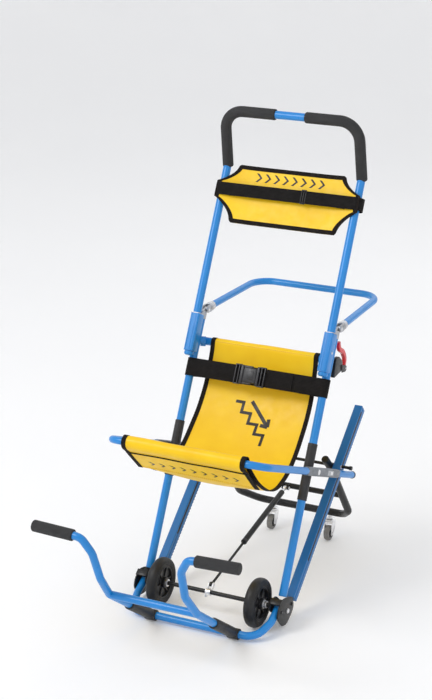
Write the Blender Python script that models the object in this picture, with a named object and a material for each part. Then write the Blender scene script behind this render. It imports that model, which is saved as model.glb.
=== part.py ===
"""Stair chair (evacuation chair): tube frame, telescoping push handle, folding seat, track rails,
kickstand with casters, gas strut, rear and front carry handles.  Metres, +Z up, -Y is the front.

Depths are measured back from the front wheels' axle; at() moves the origin to the middle of the
floor under the chair.  The left side is +X (the sitter's left)."""
import bpy
import bmesh
from math import acos, atan2, cos, pi, radians, sin, tan
from mathutils import Matrix, Vector

# ---- driving dimensions ------------------------------------------------------------------------
ORIGIN_DEPTH = 0.1592          # depth of the origin behind the front axle
TUBE_R = 0.0125                # 25 mm frame tube
ARM_R = 0.011                  # 22 mm tube of the seat frame and the rear carry handle
GRIP_R = 0.017                 # foam grips
GAP = 0.0004                   # clearance between pieces that touch

RECLINE = radians(63.8)        # slope of the back tubes above the horizontal
TUBE_X = 0.2235                # half the distance between the back tubes
TUBE_FOOT = (0.0469, 0.098)    # a point on the back tubes' line: depth, height
BACK_TUBE_TOP = 0.806          # height of the back tubes' upper ends
BACK_TUBE_BOTTOM = 0.090
HANDLE_X = 0.2244
HANDLE_OFFSET = 0.0354         # handle tubes run this far in front of the back tubes
HANDLE_BOTTOM = 0.7
HANDLE_KINK = 1.25             # height where the handle tubes turn upright
HANDLE_TOP = (0.545, 1.423)    # depth and height of the handle's top bar
SLEEVE_HALF = 0.015
SLEEVE_BOTTOM, SLEEVE_TOP = 0.714, 0.818

WHEEL_R = 0.075
WHEEL_X = 0.162
AXLE_R = 0.0065
FOOT_BAR = (-0.108, 0.0175)    # depth and height of the foot bar's cross piece
FOOT_PIVOT = (0.040, 0.048)    # rails' hinge in the foot brackets

ARM_X = 0.250
SEAT_PIVOT = (0.211, 0.432)
SEAT_FRONT = (-0.160, 0.577)
ARM_END = (0.501, 0.318)

RAIL_X = 0.223
RAIL_SLOPE = radians(41.05)
RAIL_FACE_FOOT = (0.1344, 0.100)
ROD = (0.446, 0.363)           # cross rod through the rails, the kickstand's hinge
KICK_X = 0.195
KICK_BAR = (0.687, 0.095)
CASTER_X = 0.103
CASTER_R = 0.025
STRUT_FOOT = (0.020, 0.092)
STRUT_HEAD = (0.552, 0.211)
LIFT_HINGE = (0.420, 0.817)    # rear carry handle's hinge

SIDES = {"left": 1, "right": -1}
ALONG = Vector((0, cos(RECLINE), sin(RECLINE)))
FRONTWARD = Vector((0, -sin(RECLINE), cos(RECLINE)))


# ---- helpers -----------------------------------------------------------------------------------
def at(x, depth, z):
    return Vector((x, depth - ORIGIN_DEPTH, z))


def back_line(z):
    """Depth of the back tubes' axis at height z."""
    return TUBE_FOOT[0] + (z - TUBE_FOOT[1]) / tan(RECLINE)


def handle_line(z):
    """Depth of the handle tubes' axis at height z."""
    return back_line(z) - HANDLE_OFFSET / sin(RECLINE)


def material(name, colour, roughness=0.4, metallic=0.0):
    mat = bpy.data.materials.get(name) or bpy.data.materials.new(name)
    mat.use_nodes = True
    shader = mat.node_tree.nodes["Principled BSDF"]
    shader.inputs["Base Color"].default_value = (*colour, 1)
    shader.inputs["Roughness"].default_value = roughness
    shader.inputs["Metallic"].default_value = metallic
    return mat


def collection(name):
    col = bpy.data.collections.new(name)
    bpy.context.scene.collection.children.link(col)
    return col


def mesh_object(name, mesh, mat, where=None):
    obj = bpy.data.objects.new(name, mesh)
    (where or PARTS).objects.link(obj)
    if mat:
        mesh.materials.clear()
        mesh.materials.append(mat)
    return obj


def finish_mesh(bm, name, mat, smooth=True, where=None):
    bmesh.ops.recalc_face_normals(bm, faces=bm.faces)
    if bm.calc_volume(signed=True) < 0:
        bmesh.ops.reverse_faces(bm, faces=bm.faces)
    mesh = bpy.data.meshes.new(name)
    bm.to_mesh(mesh)
    bm.free()
    if smooth:
        mesh.shade_smooth()
        mesh.set_sharp_from_angle(angle=radians(40))
    return mesh_object(name, mesh, mat, where)


def filleted(points, radius, steps=5):
    """The polyline with each inner corner turned into an arc of the given radius."""
    out = [points[0]]
    for before, corner, after in zip(points, points[1:], points[2:]):
        to_back = (before - corner).normalized()
        to_next = (after - corner).normalized()
        half = acos(max(-1, min(1, to_back.dot(to_next)))) / 2
        reach = radius / tan(half)
        limit = 0.49 * min((before - corner).length, (after - corner).length)
        reach = min(reach, limit)
        bend = reach * tan(half)
        centre = corner + (to_back + to_next).normalized() * (bend / sin(half))
        first = corner + to_back * reach - centre
        last = corner + to_next * reach - centre
        sweep = acos(max(-1, min(1, first.normalized().dot(last.normalized()))))
        for i in range(steps + 1):
            t = i / steps
            arm = (first * sin((1 - t) * sweep) + last * sin(t * sweep)) / sin(sweep)
            out.append(centre + arm)
    out.append(points[-1])
    return out


def tube(name, points, radius, mat, bend=0.06, steps=5, sides=12, where=None):
    """A capped round tube along the filleted polyline, as one welded mesh."""
    curve = bpy.data.curves.new(name, "CURVE")
    curve.dimensions = "3D"
    curve.bevel_depth = radius
    curve.bevel_resolution = (sides - 4) // 2
    curve.use_fill_caps = True
    route = filleted(points, bend, steps) if len(points) > 2 else points
    spline = curve.splines.new("POLY")
    spline.points.add(len(route) - 1)
    for point, place in zip(spline.points, route):
        point.co = (*place, 1)
    holder = bpy.data.objects.new(name + "_curve", curve)
    bpy.context.scene.collection.objects.link(holder)
    bpy.context.view_layer.update()
    evaluated = holder.evaluated_get(bpy.context.evaluated_depsgraph_get())
    mesh = bpy.data.meshes.new_from_object(evaluated)
    bm = bmesh.new()
    bm.from_mesh(mesh)
    bmesh.ops.remove_doubles(bm, verts=bm.verts, dist=1e-5)
    bpy.data.objects.remove(holder)
    return finish_mesh(bm, name, mat, where=where)


def rod(name, start, end, radius, mat, sides=16, where=None, taper=1.0):
    """A round bar or cone between two points."""
    axis = end - start
    bm = bmesh.new()
    bmesh.ops.create_cone(bm, cap_ends=True, segments=sides, radius1=radius, radius2=radius * taper,
                          depth=axis.length)
    turn = Vector((0, 0, 1)).rotation_difference(axis).to_matrix().to_4x4()
    bm.transform(Matrix.Translation((start + end) / 2) @ turn)
    return finish_mesh(bm, name, mat, where=where)


def block(name, centre, size, mat, tilt=0.0, rounding=0.0, where=None):
    """A box, turned by tilt about X, with optional rounded edges."""
    bm = bmesh.new()
    bmesh.ops.create_cube(bm, size=1)
    bm.transform(Matrix.Diagonal((*size, 1)))
    if rounding:
        bmesh.ops.bevel(bm, geom=bm.edges[:], offset=rounding, segments=2, affect="EDGES", profile=0.5)
    bm.transform(Matrix.Translation(centre) @ Matrix.Rotation(tilt, 4, "X"))
    return finish_mesh(bm, name, mat, smooth=False, where=where)


def plate(name, outline, x_low, x_high, mat, where=None):
    """A flat piece between two X planes whose outline is given as (depth, height) points."""
    bm = bmesh.new()
    low = [bm.verts.new(at(x_low, depth, z)) for depth, z in outline]
    face = bm.faces.new(low)
    grown = bmesh.ops.extrude_face_region(bm, geom=[face])
    moved = [g for g in grown["geom"] if isinstance(g, bmesh.types.BMVert)]
    bmesh.ops.translate(bm, verts=moved, vec=(x_high - x_low, 0, 0))
    return finish_mesh(bm, name, mat, smooth=False, where=where)


def turned(name, profile, centre, mat, steps=40):
    """A wheel-like piece: a closed (radius, side) profile turned about the X axis at centre."""
    bm = bmesh.new()
    ring = [bm.verts.new((side, radius, 0)) for radius, side in profile]
    for a, b in zip(ring, ring[1:] + ring[:1]):
        bm.edges.new((a, b))
    bmesh.ops.spin(bm, geom=bm.verts[:] + bm.edges[:], cent=(0, 0, 0), axis=(1, 0, 0),
                   angle=2 * pi, steps=steps, use_duplicate=False)
    bmesh.ops.remove_doubles(bm, verts=bm.verts, dist=1e-6)
    bm.transform(Matrix.Translation(centre))
    return finish_mesh(bm, name, mat)


def combine(obj, other, operation):
    """Join or cut with another mesh object, which is kept as a hidden guide."""
    mod = obj.modifiers.new(operation.lower(), "BOOLEAN")
    mod.operation = operation
    mod.object = other
    other.hide_render = True
    other.display_type = "WIRE"


def strip(name, centre_line, half_widths, thickness, mat):
    """A band of cloth across X that follows a (depth, height) line, as one closed solid."""
    bm = bmesh.new()
    rings = []
    last = len(centre_line) - 1
    for i, (depth, z) in enumerate(centre_line):
        before = centre_line[max(i - 1, 0)]
        after = centre_line[min(i + 1, last)]
        run = Vector((0, after[0] - before[0], after[1] - before[1])).normalized()
        normal = Vector((0, -run.z, run.y)) * (thickness / 2)
        half = half_widths[0] + (half_widths[1] - half_widths[0]) * i / last
        corners = [(-half, -1), (half, -1), (half, 1), (-half, 1)]
        rings.append([bm.verts.new(at(x, depth, z) + normal * side) for x, side in corners])
    for a, b in zip(rings, rings[1:]):
        for k in range(4):
            bm.faces.new((a[k], a[(k + 1) % 4], b[(k + 1) % 4], b[k]))
    bm.faces.new(rings[0])
    bm.faces.new(rings[-1][::-1])
    return finish_mesh(bm, name, mat, smooth=False)


def smooth_line(points, steps=4):
    """A Catmull-Rom curve through (depth, height) points."""
    ends = [points[0]] + list(points) + [points[-1]]
    out = []
    for a, b, c, d in zip(ends, ends[1:], ends[2:], ends[3:]):
        for i in range(steps):
            t = i / steps
            out.append(tuple(0.5 * (2 * q + (r - p) * t + (2 * p - 5 * q + 4 * r - s) * t * t
                                    + (3 * q - p - 3 * r + s) * t ** 3)
                             for p, q, r, s in zip(a, b, c, d)))
    return out + [points[-1]]


# ---- frame -------------------------------------------------------------------------------------
def back_tubes():
    for side, s in SIDES.items():
        low = at(s * TUBE_X, back_line(BACK_TUBE_BOTTOM), BACK_TUBE_BOTTOM)
        high = at(s * TUBE_X, back_line(BACK_TUBE_TOP), BACK_TUBE_TOP)
        tube("back_tube_" + side, [low, high], TUBE_R, BLUE)
        rubber_low = at(s * TUBE_X, back_line(0.350), 0.350)
        rubber_high = at(s * TUBE_X, back_line(0.505), 0.505)
        cover = rod("rubber_sleeve_" + side, rubber_low, rubber_high, 0.0146, RUBBER, sides=20)
        bore = rod("cut_rubber_" + side, low, high, TUBE_R + GAP, None, sides=20, where=CUTTERS)
        combine(cover, bore, "DIFFERENCE")


def telescope_sleeves():
    """Square-section sleeves bolted to the back tubes' fronts, bored for the handle tubes."""
    depth_size = SLEEVE_HALF + HANDLE_OFFSET - TUBE_R - GAP
    length = (SLEEVE_TOP - SLEEVE_BOTTOM) / sin(RECLINE)
    middle = (SLEEVE_BOTTOM + SLEEVE_TOP) / 2
    shift = FRONTWARD * ((SLEEVE_HALF - (depth_size - SLEEVE_HALF)) / 2)
    for side, s in SIDES.items():
        axis_point = at(s * HANDLE_X, handle_line(middle), middle)
        centre = axis_point + shift
        centre.x = s * TUBE_X
        tilt = RECLINE - pi / 2
        sleeve = block("telescope_sleeve_" + side, centre, (2 * SLEEVE_HALF, depth_size, length),
                       BLUE, tilt, rounding=0.003)
        reach = ALONG * length
        bore = rod("cut_sleeve_" + side, axis_point - reach, axis_point + reach, TUBE_R + 0.0007,
                   None, sides=24, where=CUTTERS)
        combine(sleeve, bore, "DIFFERENCE")


def crossbar():
    height = 0.725
    depth = back_line(height) + 0.0297
    half = TUBE_X + 0.0008
    tube("back_crossbar", [at(-half, depth, height), at(half, depth, height)], TUBE_R, BLUE)


def foot_brackets():
    """Black cheek plates each side of the tube's foot, joined by a web in front of it."""
    outline = [(-0.022, 0.078), (-0.030, 0.050), (0.004, 0.014), (0.036, 0.008), (0.074, 0.030),
               (0.088, 0.046), (0.076, 0.078), (0.030, 0.094), (0.004, 0.096)]
    small = [(-0.012, 0.0849), (-0.016, 0.066), (0.000, 0.052), (0.034, 0.037), (0.054, 0.046),
             (0.058, 0.070), (0.030, 0.094), (0.004, 0.096)]
    web = [(-0.012, 0.0835), (-0.0155, 0.0895), (0.000, 0.1015), (0.005, 0.0945)]
    for side, s in SIDES.items():
        name = "foot_bracket_" + side
        cheek = plate(name, outline, s * 0.2372, s * 0.2412, BLACK)
        inner = plate("join_cheek_" + side, small, s * 0.2098, s * 0.2058, None, where=CUTTERS)
        bridge = plate("join_web_" + side, web, s * 0.2058, s * 0.2412, None, where=CUTTERS)
        bolt = rod("join_bolt_" + side, at(s * 0.204, *FOOT_PIVOT), at(s * 0.2445, *FOOT_PIVOT),
                   0.005, None, where=CUTTERS)
        for extra in (bridge, inner, bolt):
            combine(cheek, extra, "UNION")


def foot_bar():
    depth, height = FOOT_BAR
    points = [at(0.2235, 0.012, 0.067), at(0.2235, -0.036, 0.040), at(0.206, depth, height)]
    points += [Vector((-p.x, p.y, p.z)) for p in reversed(points)]
    tube("foot_bar", points, TUBE_R - 0.001, BLUE, bend=0.055)


def front_wheels():
    """Solid black tyres with moulded hubs on one through axle."""
    axle_half = TUBE_X - 0.018
    tube("axle", [at(-axle_half, 0, WHEEL_R), at(axle_half, 0, WHEEL_R)], AXLE_R, BLACK)
    tyre = [(0.052, -0.013), (0.062, -0.016), (0.070, -0.015), (0.0748, -0.008), (0.075, 0),
            (0.0748, 0.008), (0.070, 0.015), (0.062, 0.016), (0.052, 0.013), (0.049, 0)]
    hub = [(0.0071, -0.019), (0.016, -0.019), (0.018, -0.007), (0.044, -0.005), (0.0515, -0.0135),
           (0.0485, 0), (0.0515, 0.0135), (0.044, 0.005), (0.018, 0.007), (0.016, 0.019),
           (0.0071, 0.019)]
    hub = [(r - (0.0005 if r > 0.04 else 0), x * (0.93 if r > 0.05 else 1)) for r, x in hub]
    for side, s in SIDES.items():
        centre = at(s * WHEEL_X, 0, WHEEL_R)
        turned("front_tyre_" + side, tyre, centre, TYRE, steps=36)
        turned("front_hub_" + side, hub, centre, BLACK, steps=24)
        nut_profile = [(AXLE_R + GAP, 0.0195), (0.013, 0.0195), (0.013, 0.031), (AXLE_R + GAP, 0.031)]
        nut_profile = [(r, s * x) for r, x in nut_profile]
        turned("axle_nut_" + side, nut_profile, centre, STEEL, steps=16)


def lap_belt():
    """One webbing loop round both back tubes, closed in front by the buckle."""
    height = 0.656
    half_width = 0.028
    centre = at(0, back_line(height), height)
    outer = TUBE_R + 0.0028
    inner = TUBE_R + 0.0007
    bm = bmesh.new()
    rings = []
    for radius in (outer, inner):
        loop = []
        for s in (1, -1):
            for i in range(9):
                turn = pi / 2 - pi * i / 8 if s > 0 else -pi / 2 - pi * i / 8
                loop.append(Vector((s * TUBE_X + radius * cos(turn), radius * sin(turn), 0)))
        rings.append(loop)
    frame_turn = Matrix((Vector((1, 0, 0)), FRONTWARD, ALONG)).transposed()
    verts = []
    for end in (-half_width, half_width):
        for loop in rings:
            verts.append([bm.verts.new(centre + frame_turn @ (p + Vector((0, 0, end)))) for p in loop])
    low_out, low_in, high_out, high_in = verts
    n = len(low_out)
    for i in range(n):
        j = (i + 1) % n
        bm.faces.new((low_out[i], low_out[j], high_out[j], high_out[i]))
        bm.faces.new((low_in[j], low_in[i], high_in[i], high_in[j]))
        bm.faces.new((low_out[j], low_out[i], low_in[i], low_in[j]))
        bm.faces.new((high_out[i], high_out[j], high_in[j], high_in[i]))
    finish_mesh(bm, "lap_belt", WEBBING, smooth=False)
    buckle_at = centre + FRONTWARD * (outer + 0.0075) + Vector((-0.013, 0, 0))
    block("lap_buckle", buckle_at, (0.092, 0.0135, 0.062), PLASTIC, RECLINE - pi / 2, rounding=0.004)


def back_sling():
    line = smooth_line([(0.3665, 0.722), (0.350, 0.655), (0.328, 0.600), (0.290, 0.548),
                        (0.246, 0.500)])
    strip("back_sling", line, (0.176, 0.178), 0.003, YELLOW)


def release_lever():
    """A hooked thumb lever on a black housing behind the left sleeve."""
    housing = [(0.378, 0.724), (0.420, 0.720), (0.435, 0.700), (0.426, 0.682), (0.364, 0.677)]
    plate("lever_housing", housing, 0.2255, 0.2375, BLACK)
    spine = smooth_line([(0.398, 0.779), (0.402, 0.757), (0.430, 0.738), (0.446, 0.712),
                         (0.441, 0.684)], 3)
    tube("release_lever", [at(0.2315, d + 0.010, z) for d, z in spine], 0.0058, RED, bend=0.004, steps=1,
         sides=10)


# ---- telescoping handle ------------------------------------------------------------------------
def handle_route():
    low = at(HANDLE_X, handle_line(HANDLE_BOTTOM), HANDLE_BOTTOM)
    kink = at(HANDLE_X, handle_line(HANDLE_KINK), HANDLE_KINK)
    depth, height = HANDLE_TOP
    corner = at(HANDLE_X - 0.003, depth, height)
    route = [low, kink, corner]
    return route + [Vector((-p.x, p.y, p.z)) for p in reversed(route)]


def handle():
    """The U tube; its foam grips run from below the corner to the top bar."""
    route = handle_route()
    tube("handle_tube", route, TUBE_R, BLUE, bend=0.062, steps=7)
    kink, corner = route[1], route[2]
    for side, s in SIDES.items():
        start = kink.lerp(corner, -0.02)
        end = Vector((0.049, corner.y, corner.z))
        points = [Vector((s * p.x, p.y, p.z)) for p in (start, corner, end)]
        grip = tube("push_grip_" + side, points, GRIP_R, FOAM, bend=0.062, steps=7, sides=16)
        bore = tube("cut_grip_" + side, route, TUBE_R + GAP, None, bend=0.062, steps=7,
                    where=CUTTERS)
        combine(grip, bore, "DIFFERENCE")


def headrest():
    """A stiff cloth panel with hollowed corners, hung between the handle tubes."""
    half_ear, ear_low, ear_high = 0.2105, 1.150, 1.196
    thick = 0.003
    upper = [(half_ear, ear_high), (0.205, 1.204), (0.192, 1.222), (0.181, 1.246)]
    lower = [(0.177, 1.084), (0.186, 1.108), (0.200, 1.128), (half_ear, ear_low)]
    right_half = lower + upper
    outline = [(x, z) for x, z in right_half] + [(-x, z) for x, z in reversed(right_half)]
    bm = bmesh.new()
    verts = [bm.verts.new(at(x, handle_line(z), z) - FRONTWARD * thick / 2) for x, z in outline]
    face = bm.faces.new(verts)
    grown = bmesh.ops.extrude_face_region(bm, geom=[face])
    moved = [g for g in grown["geom"] if isinstance(g, bmesh.types.BMVert)]
    bmesh.ops.translate(bm, verts=moved, vec=FRONTWARD * thick)
    finish_mesh(bm, "headrest", YELLOW, smooth=False)
    height = 1.172
    centre = at(0, handle_line(height), height) + FRONTWARD * (TUBE_R + 0.0022)
    block("head_strap", centre, (2 * HANDLE_X + 0.026, 0.0025, 0.038), WEBBING, RECLINE - pi / 2)


# ---- seat --------------------------------------------------------------------------------------
def arm_point(depth):
    rise = (SEAT_FRONT[1] - SEAT_PIVOT[1]) / (SEAT_PIVOT[0] - SEAT_FRONT[0])
    return depth, SEAT_PIVOT[1] + (SEAT_PIVOT[0] - depth) * rise


def seat():
    """A U tube to the aluminium links, the links on the back tubes, and the tube ends behind."""
    link_front, link_back = 0.140, 0.375
    arm = [at(ARM_X, *arm_point(link_front)), at(ARM_X, *SEAT_FRONT)]
    tube("seat_frame", arm + [Vector((-p.x, p.y, p.z)) for p in reversed(arm)], ARM_R, BLUE,
         bend=0.045)
    slope = -atan2(SEAT_FRONT[1] - SEAT_PIVOT[1], SEAT_PIVOT[0] - SEAT_FRONT[0])
    middle = (link_front + link_back) / 2
    length = (link_back - link_front) / cos(slope) - 0.001
    for side, s in SIDES.items():
        link = block("arm_link_" + side, at(s * ARM_X, *arm_point(middle)), (0.0214, length, 0.027),
                     ALLOY, slope, rounding=0.004)
        rivet = rod("join_rivet_" + side, at(s * 0.252, *SEAT_PIVOT), at(s * 0.2622, *SEAT_PIVOT),
                    0.008, None, where=CUTTERS)
        combine(link, rivet, "UNION")
        ends = [at(s * ARM_X, *arm_point(link_back)), at(s * ARM_X, *arm_point(ARM_END[0]))]
        tube("arm_tail_" + side, ends, ARM_R, BLUE)


def seat_sling():
    """The hanging seat: down from behind the legs, over the front bar and back under itself."""
    bar = Vector((0, SEAT_FRONT[0], SEAT_FRONT[1]))
    line = [(0.196, 0.466), (0.165, 0.444), (0.126, 0.428), (0.071, 0.419), (0.004, 0.438),
            (-0.062, 0.481), (-0.112, 0.532)]
    line = smooth_line(line, 3)
    wrap = ARM_R + 0.0035
    for degrees in (20, 60, 100, 140, 180, 220, 250):
        turn = radians(degrees)
        line.append((bar.y + wrap * cos(turn), bar.z + wrap * sin(turn)))
    line += [(-0.151, 0.549), (-0.122, 0.521), (-0.074, 0.473)]
    strip("seat_sling", line, (0.180, 0.195), 0.003, YELLOW)


# ---- track rails, kickstand, strut -------------------------------------------------------------
def rail_point(distance, inward=0.0):
    """Depth and height on the rail's front face line, distance above its foot point."""
    depth = RAIL_FACE_FOOT[0] + distance * cos(RAIL_SLOPE) + inward * sin(RAIL_SLOPE)
    return depth, RAIL_FACE_FOOT[1] + distance * sin(RAIL_SLOPE) - inward * cos(RAIL_SLOPE)


def rails():
    """Blue channels that carry the track belts underneath, hinged at their feet."""
    low, high, height = -0.050, 0.625, 0.030
    for side, s in SIDES.items():
        depth, z = rail_point((low + high) / 2, height / 2)
        rail = block("track_rail_" + side, at(s * RAIL_X, depth, z), (0.026, high - low, height),
                     RAIL_BLUE, RAIL_SLOPE, rounding=0.0015)
        lug_outline = [(FOOT_PIVOT[0] - 0.012, FOOT_PIVOT[1] + 0.004), (0.092, 0.062),
                       (0.114, 0.050), (FOOT_PIVOT[0] + 0.004, FOOT_PIVOT[1] - 0.014),
                       (FOOT_PIVOT[0] - 0.010, FOOT_PIVOT[1] - 0.010)]
        lug = plate("join_lug_" + side, lug_outline, s * (RAIL_X - 0.006), s * (RAIL_X + 0.006),
                    None, where=CUTTERS)
        combine(rail, lug, "UNION")
        bolt_hole = rod("cut_lug_" + side, at(s * 0.20, *FOOT_PIVOT), at(s * 0.25, *FOOT_PIVOT),
                        0.0058, None, where=CUTTERS)
        combine(rail, bolt_hole, "DIFFERENCE")
        rod_hole = rod("cut_rod_" + side, at(s * 0.19, *ROD), at(s * 0.26, *ROD), 0.0045, None,
                       where=CUTTERS)
        combine(rail, rod_hole, "DIFFERENCE")
        track_belt(side, s, low + 0.012, high - 0.01, height)
    tube("cross_rod", [at(-0.271, *ROD), at(0.271, *ROD)], 0.004, BLACK, sides=10)


def track_belt(side, s, low, high, rail_height):
    """The ribbed rubber track under its rail."""
    top = rail_height + GAP
    bottom = top + 0.008
    lower = [rail_point(low, top), rail_point(low + 0.006, bottom), rail_point(high - 0.006, bottom),
             rail_point(high, top)]
    plate("track_belt_" + side, lower, s * (RAIL_X - 0.011), s * (RAIL_X + 0.011), RUBBER)


def kickstand():
    leg = [(0.410, 0.394), (0.461, 0.345), (0.616, 0.142)]
    depth, height = KICK_BAR
    points = [at(KICK_X, *p) for p in leg] + [at(0.150, depth, height)]
    points += [Vector((-p.x, p.y, p.z)) for p in reversed(points)]
    stand = tube("kickstand", points, 0.012, BLACK, bend=0.045, steps=5)
    bar = tube("join_kick_bar", [at(-KICK_X, 0.568, 0.213), at(KICK_X, 0.568, 0.213)], 0.009, None,
               where=CUTTERS)
    combine(stand, bar, "UNION")
    pivot_hole = rod("cut_kick", at(-0.23, *ROD), at(0.23, *ROD), 0.0046, None, where=CUTTERS)
    combine(stand, pivot_hole, "DIFFERENCE")
    for s in (1, -1):
        outline = [(0.566, 0.216), (0.566, 0.202), (0.552, 0.202), (0.544, 0.211), (0.552, 0.220)]
        ear = plate("join_ear_" + str(s), outline, s * 0.008, s * 0.011, None, where=CUTTERS)
        combine(stand, ear, "UNION")


def casters():
    """Two small swivel casters under the kickstand's bar."""
    trail = 0.012
    depth, bar_z = KICK_BAR
    for side, s in SIDES.items():
        stem_top = bar_z - 0.0126
        fork = rod("caster_fork_" + side, at(s * CASTER_X, depth, 0.060), at(s * CASTER_X, depth, stem_top),
                   0.011, STEEL, sides=20)
        for cheek_side in (1, -1):
            x = s * CASTER_X + cheek_side * 0.0128
            outline = [(depth - 0.012, 0.066), (depth + 0.012, 0.066), (depth + 0.004, 0.030),
                       (depth - trail, 0.017), (depth - trail - 0.009, 0.025)]
            cheek = plate("join_fork_%s_%d" % (side, cheek_side), outline, x - 0.001, x + 0.001,
                          None, where=CUTTERS)
            combine(fork, cheek, "UNION")
        crown = block("join_crown_" + side, at(s * CASTER_X, depth, 0.0645), (0.0274, 0.024, 0.006),
                      None, where=CUTTERS)
        combine(fork, crown, "UNION")
        pin = rod("join_pin_" + side, at(s * CASTER_X - 0.0145, depth - trail, CASTER_R),
                  at(s * CASTER_X + 0.0145, depth - trail, CASTER_R), 0.0035, None, where=CUTTERS)
        combine(fork, pin, "UNION")
        profile = [(0.0040, -0.010), (0.010, -0.010), (0.020, -0.009), (0.0245, -0.006),
                   (0.025, 0), (0.0245, 0.006), (0.020, 0.009), (0.010, 0.010), (0.0040, 0.010)]
        turned("caster_wheel_" + side, profile, at(s * CASTER_X, depth - trail, CASTER_R), GREY,
               steps=24)


def gas_strut():
    """Thin rod on the axle clamp, black cylinder up to the kickstand's ears."""
    foot = at(0, *STRUT_FOOT)
    head = at(0, *STRUT_HEAD)
    run = (head - foot).normalized()
    rod("strut_rod", foot, foot + run * 0.300, 0.004, BLACK, sides=12)
    barrel = rod("strut_cylinder", foot + run * 0.226, head - run * 0.003, 0.0058, BLACK, sides=16)
    body = rod("join_barrel", foot + run * 0.226, head - run * 0.045, 0.0088, None, sides=16,
               where=CUTTERS)
    combine(barrel, body, "UNION")
    bore = rod("cut_barrel", foot + run * 0.2, foot + run * 0.522, 0.0046, None, sides=16,
               where=CUTTERS)
    combine(barrel, bore, "DIFFERENCE")
    clamp = block("axle_clamp", at(0, 0.001, WHEEL_R), (0.016, 0.026, 0.026), STEEL, rounding=0.003)
    hole = rod("cut_clamp", at(-0.03, 0, WHEEL_R), at(0.03, 0, WHEEL_R), AXLE_R + GAP, None,
               where=CUTTERS)
    combine(clamp, hole, "DIFFERENCE")


# ---- carry handles -----------------------------------------------------------------------------
def rear_lift():
    """Horizontal U behind the back tubes, folding up on two cast knuckles."""
    depth, height = LIFT_HINGE
    reach = [at(0.2235, depth + 0.047, height + 0.001), at(0.2135, 0.7835, height + 0.006)]
    lift = reach + [Vector((-p.x, p.y, p.z)) for p in reversed(reach)]
    tube("rear_lift_handle", lift, ARM_R, BLUE, bend=0.065)
    for side, s in SIDES.items():
        knuckle = rod("lift_knuckle_" + side, at(s * TUBE_X, depth, height),
                      at(s * TUBE_X, depth + 0.0465, height + 0.001), 0.0125, ALLOY, sides=18)
        slot = block("cut_knuckle_" + side, at(s * TUBE_X, depth, height), (0.0105, 0.046, 0.04),
                     None, where=CUTTERS)
        combine(knuckle, slot, "DIFFERENCE")
        cap_base = back_line(BACK_TUBE_TOP)
        socket = rod("lift_socket_" + side,
                     at(s * TUBE_X, cap_base, BACK_TUBE_TOP) + ALONG * GAP,
                     at(s * TUBE_X, cap_base, BACK_TUBE_TOP) + ALONG * 0.010, 0.0135, ALLOY, sides=18)
        tongue = block("join_tongue_" + side, at(s * TUBE_X, (cap_base + depth) / 2 + 0.002,
                       height - 0.0015), (0.0095, 0.032, 0.014), None, tilt=radians(8), where=CUTTERS)
        combine(socket, tongue, "UNION")


def front_lift():
    """Carry handle hinged on the foot bar by black sleeves, with outward grips."""
    leg = [(0.137, -0.240, 0.108), (0.140, -0.352, 0.187), (0.134, -0.412, 0.262),
           (0.139, -0.446, 0.352), (0.166, -0.459, 0.398), (0.190, -0.459, 0.401)]
    sleeve_foot = (0.137, FOOT_BAR[0] - 0.013, FOOT_BAR[1] + 0.009)
    for side, s in SIDES.items():
        route = [at(s * x, d, z) for x, d, z in leg]
        arm = tube("front_lift_arm_" + side, route, TUBE_R - 0.001, BLUE, bend=0.05, steps=3)
        if side == "left":
            bar = tube("join_lift_bar", [at(-0.139, -0.352, 0.187), at(0.139, -0.352, 0.187)],
                       TUBE_R - 0.001, None, where=CUTTERS)
            other = tube("join_other_arm", [Vector((-p.x, p.y, p.z)) for p in route], TUBE_R - 0.001,
                         None, bend=0.05, steps=3, where=CUTTERS)
            combine(arm, bar, "UNION")
            combine(arm, other, "UNION")
            arm.name = "front_lift_handle"
        else:
            bpy.data.objects.remove(arm)
        run = (route[0] - at(s * sleeve_foot[0], *sleeve_foot[1:])).normalized()
        sleeve = rod("lift_sleeve_" + side, at(s * sleeve_foot[0], *sleeve_foot[1:]),
                     route[0] - run * GAP, 0.0165, RUBBER, sides=18)
        barrel = rod("join_barrel_" + side, at(s * 0.119, *FOOT_BAR), at(s * 0.155, *FOOT_BAR), 0.0165,
                     None, sides=20, where=CUTTERS)
        combine(sleeve, barrel, "UNION")
        bore = rod("cut_barrel_" + side, at(s * 0.10, *FOOT_BAR), at(s * 0.18, *FOOT_BAR), TUBE_R,
                   None, sides=20, where=CUTTERS)
        combine(sleeve, bore, "DIFFERENCE")
        rod("front_grip_" + side, at(s * 0.1925, -0.459, 0.401), at(s * 0.322, -0.456, 0.404), GRIP_R,
            FOAM, sides=20)


PARTS = None
CUTTERS = None
for leftover in list(bpy.data.objects):
    bpy.data.objects.remove(leftover)
PARTS = collection("stair_chair")
CUTTERS = collection("cutters")
BLUE = material("blue_powder_coat", (0.03, 0.30, 0.76), 0.35)
RAIL_BLUE = material("rail_blue", (0.025, 0.20, 0.56), 0.4)
YELLOW = material("yellow_pvc", (1.0, 0.55, 0.03), 0.45)
BLACK = material("black_coat", (0.02, 0.02, 0.02), 0.45)
FOAM = material("grip_foam", (0.045, 0.045, 0.045), 0.9)
RUBBER = material("rubber", (0.03, 0.03, 0.03), 0.7)
TYRE = material("tyre", (0.025, 0.025, 0.025), 0.75)
WEBBING = material("webbing", (0.02, 0.017, 0.015), 0.85)
PLASTIC = material("buckle_plastic", (0.04, 0.04, 0.045), 0.5)
STEEL = material("zinc_steel", (0.65, 0.65, 0.65), 0.3, 1.0)
ALLOY = material("cast_alloy", (0.55, 0.56, 0.58), 0.45, 0.8)
GREY = material("caster_grey", (0.28, 0.28, 0.28), 0.6)
RED = material("red_lever", (0.70, 0.02, 0.03), 0.35)

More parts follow.
